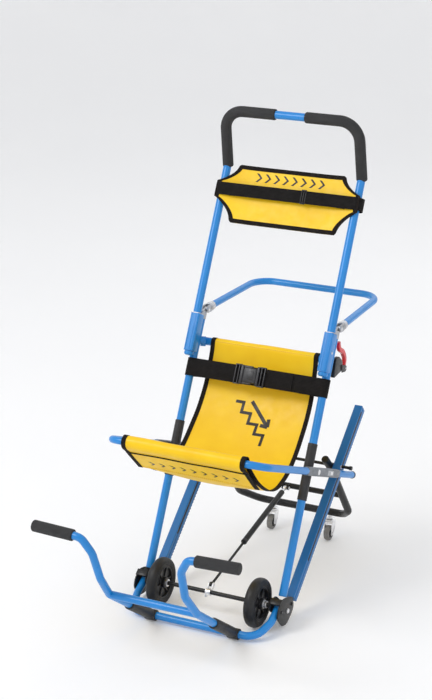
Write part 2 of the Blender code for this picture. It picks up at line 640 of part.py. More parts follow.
back_tubes()
telescope_sleeves()
crossbar()
foot_brackets()
foot_bar()
front_wheels()
lap_belt()
back_sling()
release_lever()
handle()
headrest()
seat()
seat_sling()
rails()
kickstand()
casters()
gas_strut()
rear_lift()
front_lift()
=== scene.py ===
"""Looks of the stair chair: powder-coated tubes, coated-cloth sling and headrest, webbing, foam grips,
rubber wheels and zinc fittings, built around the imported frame.  Metres, in the frame's own axes;
depths are measured back from the front axle, as in the frame's design."""
from math import acos, atan2, cos, pi, radians, sin, sqrt, tan

import bmesh
import bpy
from mathutils import Matrix, Vector, noise


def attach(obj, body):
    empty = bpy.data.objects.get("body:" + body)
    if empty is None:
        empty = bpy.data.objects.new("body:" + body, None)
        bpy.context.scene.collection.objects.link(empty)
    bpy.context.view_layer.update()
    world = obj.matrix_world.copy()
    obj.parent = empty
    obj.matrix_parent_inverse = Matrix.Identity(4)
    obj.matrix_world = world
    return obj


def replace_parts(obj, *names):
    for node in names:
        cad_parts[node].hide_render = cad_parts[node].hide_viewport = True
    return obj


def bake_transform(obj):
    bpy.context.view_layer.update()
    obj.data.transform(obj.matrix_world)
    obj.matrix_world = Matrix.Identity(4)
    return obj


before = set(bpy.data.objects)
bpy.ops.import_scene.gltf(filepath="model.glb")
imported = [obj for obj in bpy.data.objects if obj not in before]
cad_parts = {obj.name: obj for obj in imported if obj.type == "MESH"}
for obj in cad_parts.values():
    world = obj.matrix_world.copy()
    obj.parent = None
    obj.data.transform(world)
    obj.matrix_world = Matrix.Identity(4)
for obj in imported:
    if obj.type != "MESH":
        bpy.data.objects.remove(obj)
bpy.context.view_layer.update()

# ---- driving dimensions, as in the frame -------------------------------------------------------
ORIGIN_DEPTH = 0.1592
TUBE_R, ARM_R, GRIP_R, SLIM_R = 0.0125, 0.011, 0.017, 0.0115
RECLINE = radians(63.8)
TUBE_X, HANDLE_X, ARM_X, KICK_X, RAIL_X = 0.2235, 0.2244, 0.250, 0.195, 0.223
TUBE_FOOT = (0.0469, 0.098)
HANDLE_OFFSET = 0.0354
HANDLE_FOOT, HANDLE_KINK, HANDLE_TOP = 0.7, 1.25, (0.545, 1.423)
BACK_TUBE_BOTTOM, BACK_TUBE_TOP = 0.090, 0.806
SLEEVE_BOTTOM, SLEEVE_TOP, SLEEVE_HALF = 0.714, 0.818, 0.015
WHEEL_R, WHEEL_X, AXLE_R = 0.075, 0.162, 0.0065
FOOT_BAR = (-0.108, 0.0175)
FOOT_PIVOT = (0.040, 0.048)
SEAT_PIVOT, SEAT_FRONT, ARM_END = (0.211, 0.432), (-0.160, 0.577), (0.501, 0.318)
RAIL_SLOPE, RAIL_FACE_FOOT = radians(41.05), (0.1344, 0.100)
ROD, KICK_BAR = (0.446, 0.363), (0.687, 0.095)
CASTER_X, CASTER_R, CASTER_TRAIL = 0.103, 0.025, 0.012
LIFT_HINGE = (0.420, 0.817)
BUCKLE_X = -0.013
LEVER_PIVOT = (0.451, 0.684)
CROSSBAR_Z, CROSSBAR_BEHIND = 0.725, 0.0297
STRUT_FOOT, STRUT_HEAD = (0.020, 0.092), (0.552, 0.211)
LIFT_BAR = (-0.352, 0.187)
FRONT_GRIP_START, FRONT_GRIP_END = (-0.459, 0.401), (-0.456, 0.404)
WEB_THICK, WEB_TAIL = 0.0018, 0.0017
RUBBER_SLEEVE_SPAN, RUBBER_SLEEVE_R = (0.350, 0.505), 0.0146
BRACE = (0.568, 0.213)
CHEEK_IN, CHEEK_OUT = (0.2058, 0.2098), (0.2372, 0.2412)

SIDES = {"left": 1, "right": -1}
ALONG = Vector((0, cos(RECLINE), sin(RECLINE)))
FRONTWARD = Vector((0, -sin(RECLINE), cos(RECLINE)))
ACROSS = Vector((1, 0, 0))


# ---- geometry helpers --------------------------------------------------------------------------
def at(x, depth, z):
    return Vector((x, depth - ORIGIN_DEPTH, z))


def back_line(z):
    return TUBE_FOOT[0] + (z - TUBE_FOOT[1]) / tan(RECLINE)


def handle_line(z):
    return back_line(z) - HANDLE_OFFSET / sin(RECLINE)


def on_back(x, z):
    return at(x, back_line(z), z)


def on_handle(x, z):
    return at(x, handle_line(z), z)


def run_across(x_from, x_to, spot):
    return [at(x_from, *spot), at(x_to, *spot)]


def mirrored(points):
    return [Vector((-p.x, p.y, p.z)) for p in reversed(points)]


def mesh_object(bm, name, mat):
    mesh = bpy.data.meshes.new(name)
    bm.to_mesh(mesh)
    bm.free()
    mesh.shade_smooth()
    mesh.materials.append(mat)
    obj = bpy.data.objects.new(name, mesh)
    bpy.context.scene.collection.objects.link(obj)
    return obj


def finish_mesh(bm, name, mat, body, smooth_angle=35):
    """A piece with its normals outward and its material set, riding on the body if one is named."""
    bmesh.ops.recalc_face_normals(bm, faces=bm.faces)
    if bm.calc_volume(signed=True) < 0:
        bmesh.ops.reverse_faces(bm, faces=bm.faces)
    obj = mesh_object(bm, name, mat)
    obj.data.set_sharp_from_angle(angle=radians(smooth_angle))
    if body:
        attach(obj, body)
    return obj


def filleted(points, radius, steps=14):
    """The polyline with each inner corner turned into an arc."""
    out = [points[0]]
    for before, corner, after in zip(points, points[1:], points[2:]):
        to_back = (before - corner).normalized()
        to_next = (after - corner).normalized()
        half = acos(max(-1, min(1, to_back.dot(to_next)))) / 2
        limit = 0.49 * min((before - corner).length, (after - corner).length)
        reach = min(radius / tan(half), limit)
        bend = reach * tan(half)
        centre = corner + (to_back + to_next).normalized() * (bend / sin(half))
        first = corner + to_back * reach - centre
        last = corner + to_next * reach - centre
        span = acos(max(-1, min(1, first.normalized().dot(last.normalized()))))
        for i in range(steps + 1):
            t = i / steps
            out.append(centre + (first * sin((1 - t) * span) + last * sin(t * span)) / sin(span))
    out.append(points[-1])
    return out


def resampled(points, spacing):
    """The same line with points about the given spacing apart."""
    out = [points[0]]
    for a, b in zip(points, points[1:]):
        count = max(1, round((b - a).length / spacing))
        out += [a.lerp(b, (i + 1) / count) for i in range(count)]
    return out


def tangents(route):
    last = len(route) - 1
    return [(route[min(i + 1, last)] - route[max(i - 1, 0)]).normalized() for i in range(last + 1)]


def carried_frames(route):
    """A side vector for each point of the route, carried along without twist."""
    runs = tangents(route)
    start = Vector((0, 0, 1)) if abs(runs[0].z) < 0.9 else Vector((0, 1, 0))
    side = (start - runs[0] * start.dot(runs[0])).normalized()
    sides = []
    for run in runs:
        side = (side - run * side.dot(run)).normalized()
        sides.append(side)
    return runs, sides


def close_rings(bm, layer, rings, lengths, spans):
    """Faces between the rings and over both ends; spans gives each face's two UV values round the ring."""
    n = len(spans)
    for i in range(len(rings) - 1):
        for k, (u, v) in enumerate(spans):
            m = (k + 1) % n
            face = bm.faces.new((rings[i][k], rings[i][m], rings[i + 1][m], rings[i + 1][k]))
            corners = [(u, lengths[i]), (v, lengths[i]), (v, lengths[i + 1]), (u, lengths[i + 1])]
            for loop, uv in zip(face.loops, corners):
                loop[layer].uv = uv
    bm.faces.new(rings[0])
    bm.faces.new(rings[-1][::-1])


def sweep(name, route, section, mat, body, scale=None, smooth_angle=35):
    """A closed section (side, up) pairs swept along the route; scale(i, count) sizes each ring."""
    runs, sides = carried_frames(route)
    bm = bmesh.new()
    layer = bm.loops.layers.uv.new("UVMap")
    rings, lengths, travelled = [], [], 0.0
    for i, (point, run, side) in enumerate(zip(route, runs, sides)):
        travelled += (point - route[i - 1]).length if i else 0
        lengths.append(travelled)
        up = run.cross(side)
        size = scale(i, len(route)) if scale else 1
        rings.append([bm.verts.new(point + (side * a + up * b) * size) for a, b in section])
    girth = [0.0]
    for a, b in zip(section, section[1:] + section[:1]):
        girth.append(girth[-1] + sqrt((a[0] - b[0]) ** 2 + (a[1] - b[1]) ** 2))
    close_rings(bm, layer, rings, lengths, list(zip(girth, girth[1:])))
    return finish_mesh(bm, name, mat, body, smooth_angle)


def circle(radius, sides=28):
    return [(radius * cos(2 * pi * k / sides), radius * sin(2 * pi * k / sides)) for k in range(sides)]


def rounded_section(width, height, corner, steps=5):
    """A rounded rectangle as (side, up) pairs."""
    out = []
    for quarter, (sx, sy) in enumerate(((1, 1), (-1, 1), (-1, -1), (1, -1))):
        for i in range(steps + 1):
            turn = pi / 2 * (quarter + i / steps)
            out.append((sx * (width / 2 - corner) + corner * cos(turn),
                        sy * (height / 2 - corner) + corner * sin(turn)))
    return out


def soft_ends(route, radius, round_over, steps=5):
    """Extends the ends' rings so that a sweep closes in a small rounded lip."""
    runs = tangents(route)
    inner = [p for p in route if (p - route[0]).length > round_over and (p - route[-1]).length > round_over]
    head = [route[0] + runs[0] * round_over * (1 - cos(pi / 2 * i / steps)) for i in range(steps + 1)]
    tail = [route[-1] - runs[-1] * round_over * (1 - cos(pi / 2 * i / steps)) for i in range(steps + 1)]
    line = head + inner + tail[::-1]

    def scale(i, count):
        k = min(i, count - 1 - i)
        if k > steps:
            return 1
        return 1 - round_over / radius * (1 - sin(pi / 2 * k / steps))
    return line, scale


def tube(name, points, radius, mat, body, bend=0.06, lip=0.0012, spacing=0.02, sides=28):
    """A round tube along the filleted polyline, its ends slightly rounded."""
    route = filleted(points, bend) if len(points) > 2 else points
    line, scale = soft_ends(resampled(route, spacing), radius, lip)
    return sweep(name, line, circle(radius, sides), mat, body, scale)


def block(name, centre, size, mat, body, tilt=0.0, rounding=0.002, segments=3):
    bm = bmesh.new()
    bmesh.ops.create_cube(bm, size=1)
    bm.transform(Matrix.Diagonal((*size, 1)))
    bmesh.ops.bevel(bm, geom=bm.edges[:], offset=rounding, segments=segments, affect="EDGES", profile=0.5)
    bm.transform(Matrix.Translation(centre) @ Matrix.Rotation(tilt, 4, "X"))
    return finish_mesh(bm, name, mat, body, 30)


def turned(name, profile, centre, mat, body, steps=72):
    """A closed (radius, side) profile turned about the X axis through centre."""
    bm = bmesh.new()
    rings = []
    for i in range(steps):
        turn = 2 * pi * i / steps
        rings.append([bm.verts.new((side, r * cos(turn), r * sin(turn))) for r, side in profile])
    n = len(profile)
    for i in range(steps):
        a, b = rings[i], rings[(i + 1) % steps]
        for k in range(n):
            m = (k + 1) % n
            bm.faces.new((a[k], a[m], b[m], b[k]))
    bm.transform(Matrix.Translation(centre))
    return finish_mesh(bm, name, mat, body)


def both_sides(profile):
    """The (radius, side) profile carried on over its last point, the middle, to the other side."""
    return profile + [(r, -x) for r, x in reversed(profile[:-1])]


def disc(name, profile, centre, mat, body, direction=ACROSS, steps=32):
    """A solid turned cap: profile (radius, along) from the middle of one face to the other's."""
    bm = bmesh.new()
    rings = []
    for r, along in profile:
        spots = circle(r, steps) if r else [(0, 0)]
        rings.append([bm.verts.new((*spot, along)) for spot in spots])
    for a, b in zip(rings, rings[1:]):
        for k in range(steps):
            m = (k + 1) % steps
            corners = [a[k % len(a)], a[m % len(a)], b[m % len(b)], b[k % len(b)]]
            unique = list(dict.fromkeys(corners))
            if len(unique) > 2:
                bm.faces.new(unique)
    turn = Vector((0, 0, 1)).rotation_difference(direction).to_matrix().to_4x4()
    bm.transform(Matrix.Translation(centre) @ turn)
    return finish_mesh(bm, name, mat, body)


def plate(name, outline, x_low, x_high, mat, body, rounding=0.0008):
    """A flat piece between two X planes, its outline given as (depth, height) points."""
    bm = bmesh.new()
    face = bm.faces.new([bm.verts.new(at(x_low, d, z)) for d, z in outline])
    grown = bmesh.ops.extrude_face_region(bm, geom=[face])
    moved = [g for g in grown["geom"] if isinstance(g, bmesh.types.BMVert)]
    bmesh.ops.translate(bm, verts=moved, vec=(x_high - x_low, 0, 0))
    bmesh.ops.recalc_face_normals(bm, faces=bm.faces)
    rim = [e for e in bm.edges if e.calc_face_angle(0) > radians(50)]
    bmesh.ops.bevel(bm, geom=rim, offset=rounding, segments=2, affect="EDGES", profile=0.5)
    return finish_mesh(bm, name, mat, body, 30)


def smooth_curve(points, steps=8):
    """A Catmull-Rom curve through vectors or tuples of any size."""
    points = [Vector(p) for p in points]
    ends = [points[0]] + points + [points[-1]]
    out = []
    for a, b, c, d in zip(ends, ends[1:], ends[2:], ends[3:]):
        for i in range(steps):
            t = i / steps
            out.append(0.5 * (2 * b + (c - a) * t + (2 * a - 5 * b + 4 * c - d) * t * t
                              + (3 * b - a - 3 * c + d) * t ** 3))
    return out + [points[-1]]


def rounded_outline(points, radius, steps=4):
    """A closed (depth, height) outline with rounded corners."""
    out = []
    n = len(points)
    for i in range(n):
        corner = Vector(points[i])
        before, after = Vector(points[i - 1]), Vector(points[(i + 1) % n])
        a = corner + (before - corner).normalized() * min(radius, (before - corner).length * 0.45)
        b = corner + (after - corner).normalized() * min(radius, (after - corner).length * 0.45)
        for k in range(steps + 1):
            t = k / steps
            p = a.lerp(corner, t).lerp(corner.lerp(b, t), t)
            out.append((p.x, p.y))
    return out


# ---- materials ---------------------------------------------------------------------------------
class Surface:
    """A Principled material whose colour, roughness and bump are fed by small node chains."""

    def __init__(self, name, roughness=0.5, metallic=0.0, coat=0.0, specular=0.5):
        self.mat = bpy.data.materials.new(name)
        self.mat.use_nodes = True
        self.nodes = self.mat.node_tree.nodes
        self.links = self.mat.node_tree.links
        self.shader = self.nodes["Principled BSDF"]
        values = {"Roughness": roughness, "Metallic": metallic, "Coat Weight": coat, "Coat Roughness": 0.12,
                  "Specular IOR Level": specular}
        for socket, value in values.items():
            self.shader.inputs[socket].default_value = value
        self.place = self.nodes.new("ShaderNodeTexCoord")
        self.height = None

    def node(self, kind, **values):
        """A new node whose sockets take these values, or are linked to these outputs."""
        node = self.nodes.new("ShaderNode" + kind)
        for key, value in values.items():
            socket = node.inputs[key.replace("_", " ")]
            if isinstance(value, bpy.types.NodeSocket):
                self.links.new(value, socket)
            else:
                socket.default_value = value
        return node

    def coords(self, stretch=(1, 1, 1), use_uv=False):
        source = self.place.outputs["UV" if use_uv else "Object"]
        return self.node("Mapping", Scale=stretch, Vector=source).outputs[0]

    def noise(self, scale, detail=3.0, stretch=(1, 1, 1), roughness=0.55):
        return self.node("TexNoise", Scale=scale, Detail=detail, Roughness=roughness,
                         Vector=self.coords(stretch)).outputs["Fac"]

    def cells(self, scale):
        return self.node("TexVoronoi", Scale=scale, Vector=self.coords()).outputs["Distance"]

    def wave(self, scale, direction, use_uv=False):
        node = self.node("TexWave", Scale=scale, Vector=self.coords(use_uv=use_uv))
        node.bands_direction = direction
        return node.outputs["Fac"]

    def math(self, operation, a, b=0.0):
        node = self.nodes.new("ShaderNodeMath")
        node.operation = operation
        for socket, value in zip(node.inputs, (a, b)):
            if isinstance(value, (int, float)):
                socket.default_value = value
            else:
                self.links.new(value, socket)
        return node.outputs[0]

    def ramp(self, source, stops):
        node = self.node("ValToRGB", Fac=source)
        elements = node.color_ramp.elements
        for i, (position, colour) in enumerate(stops):
            element = elements[i] if i < 2 else elements.new(position)
            element.position = position
            element.color = (*colour, 1)
        return node.outputs["Color"]

    def spread(self, source, low, high):
        node = self.node("MapRange", From_Min=0.3, From_Max=0.7, To_Min=low, To_Max=high, Value=source)
        return node.outputs["Result"]

    def colour(self, source):
        self.links.new(source, self.shader.inputs["Base Color"])

    def mottle(self, colour, spread, source, low=0.3, high=0.7):
        """A base colour that runs from a darker to a lighter shade with the source."""
        dark, light = shades(colour, spread)
        self.colour(self.ramp(source, [(low, dark), (high, light)]))

    def roughness(self, source):
        self.links.new(source, self.shader.inputs["Roughness"])

    def bump(self, source, strength, distance):
        node = self.node("Bump", Strength=strength, Distance=distance, Height=source)
        if self.height:
            self.links.new(self.height, node.inputs["Normal"])
        self.height = node.outputs[0]
        self.links.new(self.height, self.shader.inputs["Normal"])


def shades(colour, spread):
    dark = tuple(c * (1 - spread) for c in colour)
    light = tuple(min(1, c * (1 + spread) + 0.004) for c in colour)
    return dark, light


def powder_coat(name, colour, roughness, specular=0.5):
    """Stove-enamelled tube: faint orange peel, cloudy gloss and small scuffs."""
    s = Surface(name, roughness, coat=0.15, specular=specular)
    s.mottle(colour, 0.05, s.noise(6, 3))
    scuff = s.noise(240, 4, (1, 1, 0.4), 0.6)
    s.roughness(s.spread(scuff, roughness - 0.03, roughness + 0.06))
    s.bump(s.noise(420, 2), 0.03, 0.0003)
    return s.mat


def coated_cloth(name, colour):
    """PVC-coated polyester: base cloth grid printed through, soft creases, uneven sheen."""
    s = Surface(name, 0.42, specular=0.35)
    s.mottle(colour, 0.07, s.noise(9, 4))
    s.roughness(s.spread(s.noise(40, 4), 0.34, 0.50))
    warp = s.wave(190, "X")
    weft = s.wave(190, "Z")
    s.bump(s.math("MULTIPLY", warp, weft), 0.18, 0.0003)
    s.bump(s.noise(22, 3, (1, 0.35, 0.35)), 0.22, 0.004)
    s.bump(s.noise(95, 4), 0.10, 0.001)
    return s.mat


def webbing(name, colour):
    """Polyester webbing: fine cross ribs and a lengthwise herringbone."""
    s = Surface(name, 0.82, specular=0.2)
    dark, light = shades(colour, 0.35)
    ribs = s.wave(230, "Y", use_uv=True)
    columns = s.wave(75, "X", use_uv=True)
    weave = s.math("MULTIPLY", ribs, columns)
    s.colour(s.ramp(s.math("ADD", weave, s.noise(60, 3)), [(0.4, dark), (1.1, light)]))
    s.bump(weave, 0.55, 0.0006)
    s.bump(s.noise(420, 2), 0.12, 0.0004)
    return s.mat


def foam_grip(name, colour):
    """Closed-cell foam: fine open pores with handling shine."""
    s = Surface(name, 0.85, specular=0.4)
    dark, light = shades(colour, 0.25)
    pores = s.cells(650)
    s.colour(s.ramp(s.math("ADD", s.noise(35, 4), pores), [(0.35, dark), (1.0, light)]))
    s.roughness(s.spread(s.noise(26, 3), 0.74, 0.94))
    s.bump(pores, 0.45, 0.0006)
    s.bump(s.noise(260, 3), 0.20, 0.0004)
    return s.mat


def moulded(name, colour, roughness, grain=0.12, spread=0.18, coat=0.0):
    """Moulded rubber or plastic with a fine spark-eroded grain."""
    s = Surface(name, roughness, coat=coat)
    s.mottle(colour, spread, s.noise(30, 4), 0.35, 0.65)
    s.roughness(s.spread(s.noise(70, 4), roughness - 0.06, roughness + 0.08))
    s.bump(s.noise(900, 2), grain, 0.0003)
    s.bump(s.noise(120, 3), grain * 0.5, 0.0004)
    return s.mat


def bare_metal(name, colour, roughness, brushed=(1, 1, 1), pits=0.08):
    """Zinc plate or die-cast alloy: drawn marks, small pits and dull patches."""
    s = Surface(name, roughness, metallic=1.0)
    s.mottle(colour, 0.16, s.noise(45, 4))
    streaks = s.noise(260, 4, brushed)
    s.roughness(s.spread(streaks, roughness - 0.08, roughness + 0.14))
    s.bump(streaks, pits, 0.0003)
    return s.mat


def studio_floor(name):
    s = Surface(name, 0.9)
    s.colour(s.ramp(s.noise(1.5, 2), [(0.3, (0.895, 0.895, 0.90)), (0.7, (0.91, 0.91, 0.912))]))
    s.shader.inputs["Emission Color"].default_value = (1, 1, 1, 1)
    s.shader.inputs["Emission Strength"].default_value = 0.105
    return s.mat


BLUE = powder_coat("blue_powder_coat", (0.006, 0.235, 0.660), 0.30)
RAIL_BLUE = powder_coat("rail_blue_coat", (0.006, 0.150, 0.420), 0.36, 0.35)
YELLOW = coated_cloth("yellow_coated_cloth", (1.0, 0.600, 0.003))
PRINT = coated_cloth("dark_print", (0.018, 0.012, 0.008))
WEBBING = webbing("black_webbing", (0.0075, 0.0062, 0.0058))
BINDING = webbing("black_binding", (0.0095, 0.0066, 0.0050))
FOAM = foam_grip("grip_foam", (0.026, 0.026, 0.027))
RUBBER = moulded("black_rubber", (0.010, 0.010, 0.010), 0.58, 0.2)
SLEEVE_RUBBER = moulded("grey_black_rubber", (0.017, 0.017, 0.018), 0.50, 0.2)
TYRE = moulded("tyre_rubber", (0.0060, 0.0060, 0.0065), 0.50, 0.2)
PLASTIC = moulded("black_plastic", (0.0080, 0.0080, 0.0090), 0.34, 0.15)
BUCKLE = moulded("buckle_plastic", (0.022, 0.022, 0.025), 0.36, 0.15)
BLACK_STEEL = powder_coat("black_powder_coat", (0.0060, 0.0060, 0.0064), 0.44, 0.35)
ZINC = bare_metal("zinc_plate", (0.80, 0.80, 0.81), 0.30)
ALLOY = bare_metal("cast_alloy", (0.50, 0.51, 0.53), 0.42, pits=0.2)
LINK_GREY = bare_metal("link_alloy", (0.25, 0.265, 0.285), 0.46, (0.2, 1, 1), 0.15)
CASTER_GREY = moulded("caster_grey", (0.20, 0.195, 0.185), 0.55)
RED = moulded("red_plastic", (0.62, 0.012, 0.022), 0.30, 0.05, coat=0.3)
THREAD = moulded("yellow_thread", (0.75, 0.42, 0.03), 0.8)
FLOOR = studio_floor("studio_floor")


# ---- stage -------------------------------------------------------------------------------------
CAMERA_PLACE, CAMERA_LENS, CAMERA_SENSOR = (2.2516, -4.4981 - ORIGIN_DEPTH, 2.4725), 94.8, 36
CAMERA_RIGHT, CAMERA_UP = Vector((0.8953, 0.4455, 0.0042)), Vector((-0.1413, 0.2750, 0.9510))


def camera():
    cam = bpy.data.cameras.new("camera")
    cam.lens = CAMERA_LENS
    cam.sensor_width = CAMERA_SENSOR
    obj = bpy.data.objects.new("camera", cam)
    back = CAMERA_RIGHT.cross(CAMERA_UP).normalized()
    up = back.cross(CAMERA_RIGHT).normalized()
    turn = Matrix((CAMERA_RIGHT.normalized(), up, back)).transposed().to_4x4()
    obj.matrix_world = Matrix.Translation(CAMERA_PLACE) @ turn
    bpy.context.scene.collection.objects.link(obj)
    bpy.context.scene.camera = obj


def area_light(name, place, aim, size, power):
    light = bpy.data.lights.new(name, "AREA")
    light.energy = power
    light.size = size
    obj = bpy.data.objects.new(name, light)
    obj.location = place
    obj.rotation_euler = (Vector(aim) - Vector(place)).to_track_quat("-Z", "Y").to_euler()
    bpy.context.scene.collection.objects.link(obj)


def backdrop():
    """A white floor that turns up into a white wall on every side, as one turned surface."""
    radius, bend, steps = 9.0, 4.0, 12
    profile = [(radius * 0.5, 0.0), (radius, 0.0)]
    profile += [(radius + bend * sin(pi / 2 * k / steps), bend * (1 - cos(pi / 2 * k / steps)))
                for k in range(1, steps + 1)]
    profile.append((radius + bend, 14.0))
    bm = bmesh.new()
    sides = 64
    rings = [[bm.verts.new((*spot, z)) for spot in circle(r, sides)] for r, z in profile]
    bm.faces.new(rings[0])
    for low, high in zip(rings, rings[1:]):
        for k in range(sides):
            m = (k + 1) % sides
            bm.faces.new((low[k], low[m], high[m], high[k]))
    bmesh.ops.recalc_face_normals(bm, faces=bm.faces)
    mesh_object(bm, "backdrop", FLOOR)


def stage():
    """A seamless white backdrop under an even white sky and three large soft lights."""
    backdrop()
    world = bpy.data.worlds.new("studio")
    world.use_nodes = True
    world.node_tree.nodes["Background"].inputs["Color"].default_value = (0.97, 0.98, 1.0, 1)
    world.node_tree.nodes["Background"].inputs["Strength"].default_value = 0.72
    bpy.context.scene.world = world
    bpy.context.scene.view_settings.view_transform = "Standard"
    area_light("key", (-2.5, -3.0, 4.2), (0, 0, 0.5), 1.8, 95)
    area_light("fill", (4.0, -2.5, 2.6), (0, 0, 0.6), 3.0, 14)
    area_light("back", (0.5, 4.0, 3.5), (0, 0, 0.5), 3.5, 24)


# ---- cloth surfaces ----------------------------------------------------------------------------
class Drape:
    """Cloth across X that follows a (depth, height) line, with its own half width and sag."""

    def __init__(self, line, half_width, sag=None, ripple=0.0):
        self.line = line
        self.half_width = half_width
        self.sag = sag or (lambda u, s: 0.0)
        self.ripple = ripple
        self.travelled = [0.0]
        for a, b in zip(line, line[1:]):
            self.travelled.append(self.travelled[-1] + (Vector(b) - Vector(a)).length)
        self.length = self.travelled[-1]

    def locate(self, s):
        s = max(0.0, min(self.length, s))
        k = 0
        while k < len(self.travelled) - 2 and self.travelled[k + 1] < s:
            k += 1
        share = (s - self.travelled[k]) / max(1e-9, self.travelled[k + 1] - self.travelled[k])
        return Vector(self.line[k]).lerp(Vector(self.line[k + 1]), share)

    def normal(self, s):
        run = self.locate(s + 0.006) - self.locate(s - 0.006)
        return Vector((0, run.y, -run.x)).normalized()

    def point(self, x, s, lift=0.0):
        spot = self.locate(s)
        u = x / self.half_width(s)
        crease = self.ripple * noise.noise(Vector((x * 9, s * 14, 3.7)))
        return at(x, spot.x, spot.y) + self.normal(s) * (lift - self.sag(u, s) + crease)


def patch(name, drape, x_edges, s_range, lift, mat, body, nx=24, ns=60, blended=False):
    """A closed thin piece of the drape between two X edges (functions of s) and two lengths."""
    bm = bmesh.new()
    layer = bm.loops.layers.uv.new("UVMap")
    low_x, high_x = x_edges
    grids = []
    for height in lift:
        grid = []
        for j in range(ns + 1):
            s = s_range[0] + (s_range[1] - s_range[0]) * j / ns
            row = []
            for i in range(nx + 1):
                x = low_x(s) + (high_x(s) - low_x(s)) * i / nx
                row.append((bm.verts.new(drape.point(x, s, height)), (x, s)))
            grid.append(row)
        grids.append(grid)
    under, over = grids

    def quad(*corners):
        face = bm.faces.new([c[0] for c in corners])
        for loop, corner in zip(face.loops, corners):
            loop[layer].uv = corner[1]
    for j in range(ns):
        for i in range(nx):
            quad(over[j][i], over[j][i + 1], over[j + 1][i + 1], over[j + 1][i])
            quad(under[j + 1][i], under[j + 1][i + 1], under[j][i + 1], under[j][i])
    for j in range(ns):
        quad(over[j + 1][0], under[j + 1][0], under[j][0], over[j][0])
        quad(over[j][nx], under[j][nx], under[j + 1][nx], over[j + 1][nx])
    for i in range(nx):
        quad(over[0][i], under[0][i], under[0][i + 1], over[0][i + 1])
        quad(over[ns][i + 1], under[ns][i + 1], under[ns][i], over[ns][i])
    obj = finish_mesh(bm, name, mat, None if blended else body, 50)
    if blended:
        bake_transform(obj)
    return obj


def sling_line():
    """Round the crossbar, down through the seat bag, over the front bar, and the flap back under it."""
    bar = (back_line(CROSSBAR_Z) + CROSSBAR_BEHIND, CROSSBAR_Z)
    wrap = TUBE_R + 0.002
    line = [(bar[0] + wrap * cos(radians(a)), bar[1] + wrap * sin(radians(a)))
            for a in (-75, -40, 0, 40, 80, 120, 155)]
    line += [(0.3665, 0.700), (0.352, 0.655), (0.330, 0.602), (0.291, 0.548), (0.246, 0.502),
             (0.205, 0.467), (0.165, 0.441), (0.126, 0.426), (0.071, 0.418), (0.004, 0.436),
             (-0.062, 0.480), (-0.112, 0.531), (-0.137, 0.566), (-0.142, 0.585), (-0.153, 0.5945),
             (-0.167, 0.590), (-0.1735, 0.577), (-0.170, 0.564), (-0.160, 0.554), (-0.149, 0.546),
             (-0.122, 0.519), (-0.094, 0.491), (-0.070, 0.468)]
    return smooth_curve(line, 6)


SLING_LINE = sling_line()
SLING_FLAP = 0.105
SLING_TOP_LOOP = 0.052


def sling_half(s):
    share = min(1, max(0, (s - SLING_TOP_LOOP) / 0.62))
    return 0.179 + 0.016 * share


def sling_sag(u, s):
    """The middle hangs lower than the bound edges; nothing sags where a bar holds the cloth."""
    share = (s - SLING_TOP_LOOP) / (SLING.length - SLING_FLAP - 0.09 - SLING_TOP_LOOP)
    if share <= 0 or share >= 1:
        return 0.0
    return 0.014 * sin(pi * share) * (1 - u * u)


SLING = Drape(SLING_LINE, sling_half, sling_sag, 0.0016)
CLOTH = 0.0012
EDGE_WIDTH = 0.0125


def edge_pair(drape, side, inner, outer):
    """Left and right X edges of a band along one side of the drape."""
    low = lambda s: side * (drape.half_width(s) - inner)
    high = lambda s: side * (drape.half_width(s) + outer)
    return (low, high) if side > 0 else (high, low)


def sling():
    """The seat's one piece of coated cloth, its tape binding, piping and stitching."""
    whole = (lambda s: -sling_half(s), lambda s: sling_half(s))
    cloth = patch("sling_cloth", SLING, whole, (0, SLING.length), (-CLOTH / 2, CLOTH / 2), YELLOW,
                  "frame", 36, 190, blended=True)
    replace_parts(cloth, "back_sling", "seat_sling")
    for tag, side in SIDES.items():
        top = patch("sling_binding_" + tag, SLING, edge_pair(SLING, side, EDGE_WIDTH, 0.0015),
                    (0, SLING.length), (-CLOTH / 2 - 0.0011, CLOTH / 2 + 0.0011), BINDING, "frame",
                    4, 190, blended=True)
    hem_start = SLING.length - SLING_FLAP
    full = (lambda s: -sling_half(s) - 0.001, lambda s: sling_half(s) + 0.001)
    piping = patch("sling_piping", SLING, full, (hem_start - 0.002, hem_start + 0.003),
                   (-CLOTH / 2 - 0.0008, CLOTH / 2 + 0.0022), BINDING, "seat", 36, 6)
    for k, (s, tint) in enumerate(((SLING_TOP_LOOP + 0.004, THREAD), (hem_start - 0.012, THREAD),
                                   (SLING.length - 0.006, THREAD), (SLING.length - 0.011, THREAD))):
        stitch_row("sling_stitches_%d" % k, SLING, s, sling_half(s) - 0.014, tint,
                                "frame" if k == 0 else "seat")


def stitch_row(name, drape, s, half, mat, body, pitch=0.0065):
    """A row of short raised stitches across the cloth."""
    bm = bmesh.new()
    scale = Matrix.Diagonal((pitch * 0.62, 0.0009, 0.0007, 1))
    turn = Vector((0, 0, 1)).rotation_difference(drape.normal(s)).to_matrix().to_4x4()
    for i in range(int(2 * half / pitch)):
        spot = drape.point(-half + pitch * (i + 0.5), s, CLOTH / 2 + 0.0002)
        bmesh.ops.create_cube(bm, size=1, matrix=Matrix.Translation(spot) @ turn @ scale)
    return finish_mesh(bm, name, mat, body)


